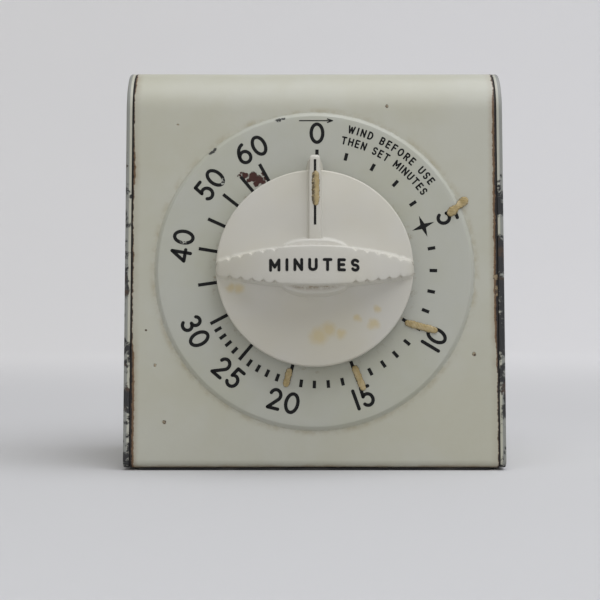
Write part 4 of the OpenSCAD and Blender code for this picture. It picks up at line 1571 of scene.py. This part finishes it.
def glow_paste(sizes):
    finish = Finish("glow_paste")
    grains = finish.noise(0.5 * MM, detail=4, rough=0.7)
    clouds = finish.noise(1.6 * MM, detail=2)
    tint = finish.mix(finish.rise(clouds, 0.35, 0.7), sizes.glow, (0.50, 0.40, 0.22))
    tint = finish.mix(finish.rise(grains, 0.56, 0.68) * 0.5, tint, (0.30, 0.20, 0.07))
    # Painted shadow: darkened round each strip's foot, and on the pointer's strip along its left side in painted
    # shade.
    dirt = finish.grime()
    tint = finish.mix(dirt * finish.rise(grains, 0.3, 0.55) * 0.85, tint, (0.035, 0.028, 0.02))
    return finish.close(
        **{
            "Base Color": tint,
            "Roughness": 0.62 + grains * 0.25,
            "Normal": finish.bump(grains * 0.12 + clouds * 0.08),
        }
    )


def knob_plastic(knob):
    finish = Finish("knob_plastic")
    clouds = finish.noise(22 * MM, detail=3)
    warm = tuple(part * share for part, share in zip(knob.plastic, (0.98, 0.965, 0.90)))
    tint = finish.mix(finish.rise(clouds, 0.35, 0.7), knob.plastic, warm)
    stains = finish.blots(KNOB_STAINS, 0.75, finish.ragged(3 * MM, 2.2 * MM))
    tint = finish.mix(stains * 0.75, tint, knob.stain)
    # On the knob the mask holds dirt only.
    dirt = finish.grime()
    fine = finish.noise(0.9 * MM, detail=4, rough=0.65)
    tint = finish.mix(dirt * finish.rise(fine, 0.32, 0.62) * 0.8, tint, knob.grime)
    specks = finish.specks(8 * MM, 0.14 * MM, 0.3, seed=0.53)
    tint = finish.mix(specks * 0.5, tint, (0.25, 0.20, 0.14))
    rough = 0.40 + finish.noise(12 * MM) * 0.12 + stains * 0.1
    height = finish.noise(5 * MM, detail=2) * 0.03 + fine * 0.006
    return finish.close(
        **{"Base Color": tint, "Roughness": rough, "Normal": finish.bump(height)}
    )


def worked_metal(name, tint, tarnish, rough, grain=(1, 1, 14), blotch=6 * MM):
    """Drawn or rolled metal: fine grain one way, with cloudy tarnish"""
    finish = Finish(name)
    clouds = finish.noise(blotch, detail=4, rough=0.6)
    drawn = finish.noise(1.4 * MM, detail=3, place=finish.vector("MULTIPLY", finish.place, grain))
    shade = finish.rise(clouds, 0.42, 0.72) * 0.8 + (drawn - 0.5) * 0.3
    return finish.close(
        **{
            "Base Color": finish.mix(shade, tint, tarnish),
            "Metallic": 1.0,
            "Roughness": rough + clouds * 0.15 + drawn * 0.12,
            "Normal": finish.bump(drawn * 0.02),
        }
    )


def pad_rubber():
    finish = Finish("pad_rubber")
    grains = finish.noise(0.6 * MM, detail=4, rough=0.7)
    dust = finish.rise(finish.noise(9 * MM, detail=3), 0.45, 0.75) * 0.4
    tint = finish.mix(dust, (0.018, 0.018, 0.018), (0.10, 0.095, 0.085))
    return finish.close(
        **{
            "Base Color": tint,
            "Roughness": 0.8 + grains * 0.15,
            "Normal": finish.bump(grains * 0.08),
        }
    )


def metal_finishes():
    """Finishes for the CAD nodes that keep their own shape, by the record's slot"""
    return {
        "case_steel": worked_metal("case_steel", (0.42, 0.41, 0.39), (0.13, 0.10, 0.07), 0.34),
        "movement_brass": worked_metal("movement_brass", (0.76, 0.55, 0.24), (0.38, 0.24, 0.09), 0.24),
        "movement_steel": worked_metal("movement_steel", (0.56, 0.56, 0.57), (0.27, 0.25, 0.23), 0.22),
        "blued_spring": worked_metal("blued_spring", (0.07, 0.11, 0.26), (0.03, 0.04, 0.08), 0.20),
        "bell_steel": worked_metal("bell_steel", (0.62, 0.61, 0.59), (0.33, 0.30, 0.26), 0.18, (9, 1, 1)),
        "pad_rubber": pad_rubber(),
    }


class TIMER_OT_metalwork(bpy.types.Operator):
    """Gives the screws, plates, wheels, springs, bell and foot pad their finishes"""

    bl_idname = "timer.metalwork"
    bl_label = "Metalwork"

    def execute(self, context):
        finishes = metal_finishes()
        for name, node in frame["nodes"].items():
            if node.hide_render:
                continue
            if SLOT_OF[name] not in finishes:
                raise RuntimeError(f"{name} is shown but its slot {SLOT_OF[name]} has no finish")
            if not node.material_slots:
                raise RuntimeError(f"{name} has no material slot")
            for material_slot in node.material_slots:
                material_slot.material = finishes[SLOT_OF[name]]
        return {"FINISHED"}


# ---------------------------------------------------------------- stage


def add_lamp(name, place, target, size, power, tint):
    """A square soft lamp turned towards a target"""
    data = bpy.data.lights.new(name, "AREA")
    data.shape = "SQUARE"
    data.size = size
    data.energy = power
    data.color = tint
    lamp = bpy.data.objects.new(name, data)
    lamp.location = place
    lamp.rotation_euler = (Vector(target) - Vector(place)).to_track_quat("-Z", "Y").to_euler()
    bpy.context.scene.collection.objects.link(lamp)


class TIMER_OT_stage(bpy.types.Operator):
    """Sets the pale floor with its sweep, the soft light and the camera"""

    bl_idname = "timer.stage"
    bl_label = "Stage"

    def execute(self, context):
        stage = context.scene.timer_stage
        self.lay_floor(stage)
        self.light(context, stage)
        self.aim_camera(context, stage)
        return {"FINISHED"}

    def lay_floor(self, stage):
        flat = stage.floor_radius
        sweep = stage.sweep_radius
        profile = [(flat * i / 12, 0) for i in range(13)]
        profile += [
            (flat + sweep * math.sin(a), sweep * (1 - math.cos(a)))
            for a in (math.radians(5 * i) for i in range(1, 19))
        ]
        profile.append((flat + sweep, stage.wall_height))
        steps = 128
        points = [(0, 0, 0)]
        for reach, height in profile[1:]:
            for i in range(steps):
                turn = 2 * math.pi * i / steps
                points.append((reach * math.cos(turn), reach * math.sin(turn), height))
        faces = [(0, 1 + i, 1 + (i + 1) % steps) for i in range(steps)]
        for ring in range(len(profile) - 2):
            here = 1 + ring * steps
            for i in range(steps):
                after = (i + 1) % steps
                faces.append((here + i, here + steps + i, here + steps + after, here + after))
        mesh = bpy.data.meshes.new("floor")
        mesh.from_pydata(points, [], faces)
        mesh.shade_smooth()
        floor = bpy.data.objects.new("floor", mesh)
        finish = Finish("floor_paper")
        clouds = finish.noise(300 * MM, detail=2)
        darker = tuple(part * 0.96 for part in stage.floor)
        tint = finish.mix(clouds, stage.floor, darker)
        fibres = finish.noise(0.8 * MM, detail=3)
        behind = finish.rise(finish.along((0, 1, 0)), 0.1, 0.75)
        right = finish.rise(finish.along((1, 0, 0)), -0.7, 0.7)
        lit = finish.mix(behind, (0, 0, 0), finish.mix(right, (0.86, 0.85, 0.85), (1, 1, 1.06)))
        mesh.materials.append(
            finish.close(
                **{
                    "Base Color": tint,
                    "Roughness": 0.85,
                    "Normal": finish.bump(fibres * 0.02),
                    "Emission Color": lit,
                    "Emission Strength": stage.glow,
                }
            )
        )
        bpy.context.scene.collection.objects.link(floor)

    def light(self, context, stage):
        cool = (0.96, 0.985, 1.06)
        warm = (1, 0.985, 0.93)
        for name, rise, side, power, tint in (
            ("key_lamp", stage.lamp_elevation, stage.lamp_side, stage.lamp_power, cool),
            ("fill_lamp", stage.fill_elevation, stage.fill_side, stage.fill_power, warm),
        ):
            flat = math.cos(rise)
            way = Vector((math.sin(side) * flat, -math.cos(side) * flat, math.sin(rise)))
            place = DIAL_CENTRE + stage.lamp_distance * way
            add_lamp(name, place, DIAL_CENTRE, stage.lamp_size, power, tint)
        world = context.scene.world or bpy.data.worlds.new("world")
        context.scene.world = world
        world.use_nodes = True
        sky = world.node_tree.nodes["Background"]
        sky.inputs["Color"].default_value = (1, 0.98, 0.89, 1)
        sky.inputs["Strength"].default_value = stage.sky
        context.scene.view_settings.view_transform = "Standard"

    def aim_camera(self, context, stage):
        data = bpy.data.cameras.new("camera")
        data.sensor_width = 36
        data.lens = stage.lens
        data.clip_start = 0.01
        camera = bpy.data.objects.new("camera", data)
        camera.location = (stage.camera_side, -stage.camera_distance, stage.camera_height)
        camera.rotation_euler = (math.pi / 2, 0, 0)
        context.scene.collection.objects.link(camera)
        context.scene.camera = camera


# ---------------------------------------------------------------- add-on


PIECE_OPERATORS = (
    TIMER_OT_case_skin,
    TIMER_OT_side_covers,
    TIMER_OT_dial_plate,
    TIMER_OT_dial_print,
    TIMER_OT_glow_strips,
    TIMER_OT_setting_knob,
    TIMER_OT_knob_print,
    TIMER_OT_metalwork,
    TIMER_OT_stage,
)


class TIMER_PT_looks(bpy.types.Panel):
    """Lists the steps that build the timer's looks"""

    bl_idname = "TIMER_PT_looks"
    bl_label = "Timer looks"
    bl_space_type = "VIEW_3D"
    bl_region_type = "UI"
    bl_category = "Timer"

    def draw(self, context):
        for kind in PIECE_OPERATORS:
            self.layout.operator(kind.bl_idname)


SETTINGS = {
    "timer_case": CaseSizes,
    "timer_dial": DialSizes,
    "timer_knob": KnobSizes,
    "timer_stage": StageSettings,
}


def register():
    for kind in (*SETTINGS.values(), *PIECE_OPERATORS, TIMER_PT_looks):
        bpy.utils.register_class(kind)
    for name, kind in SETTINGS.items():
        setattr(bpy.types.Scene, name, bpy.props.PointerProperty(type=kind))


def unregister():
    for name in SETTINGS:
        delattr(bpy.types.Scene, name)
    for kind in (TIMER_PT_looks, *reversed(PIECE_OPERATORS), *SETTINGS.values()):
        bpy.utils.unregister_class(kind)


def main():
    register()
    for kind in PIECE_OPERATORS:
        group, step = kind.bl_idname.split(".")
        getattr(getattr(bpy.ops, group), step)()


if __name__ == "__main__":
    main()
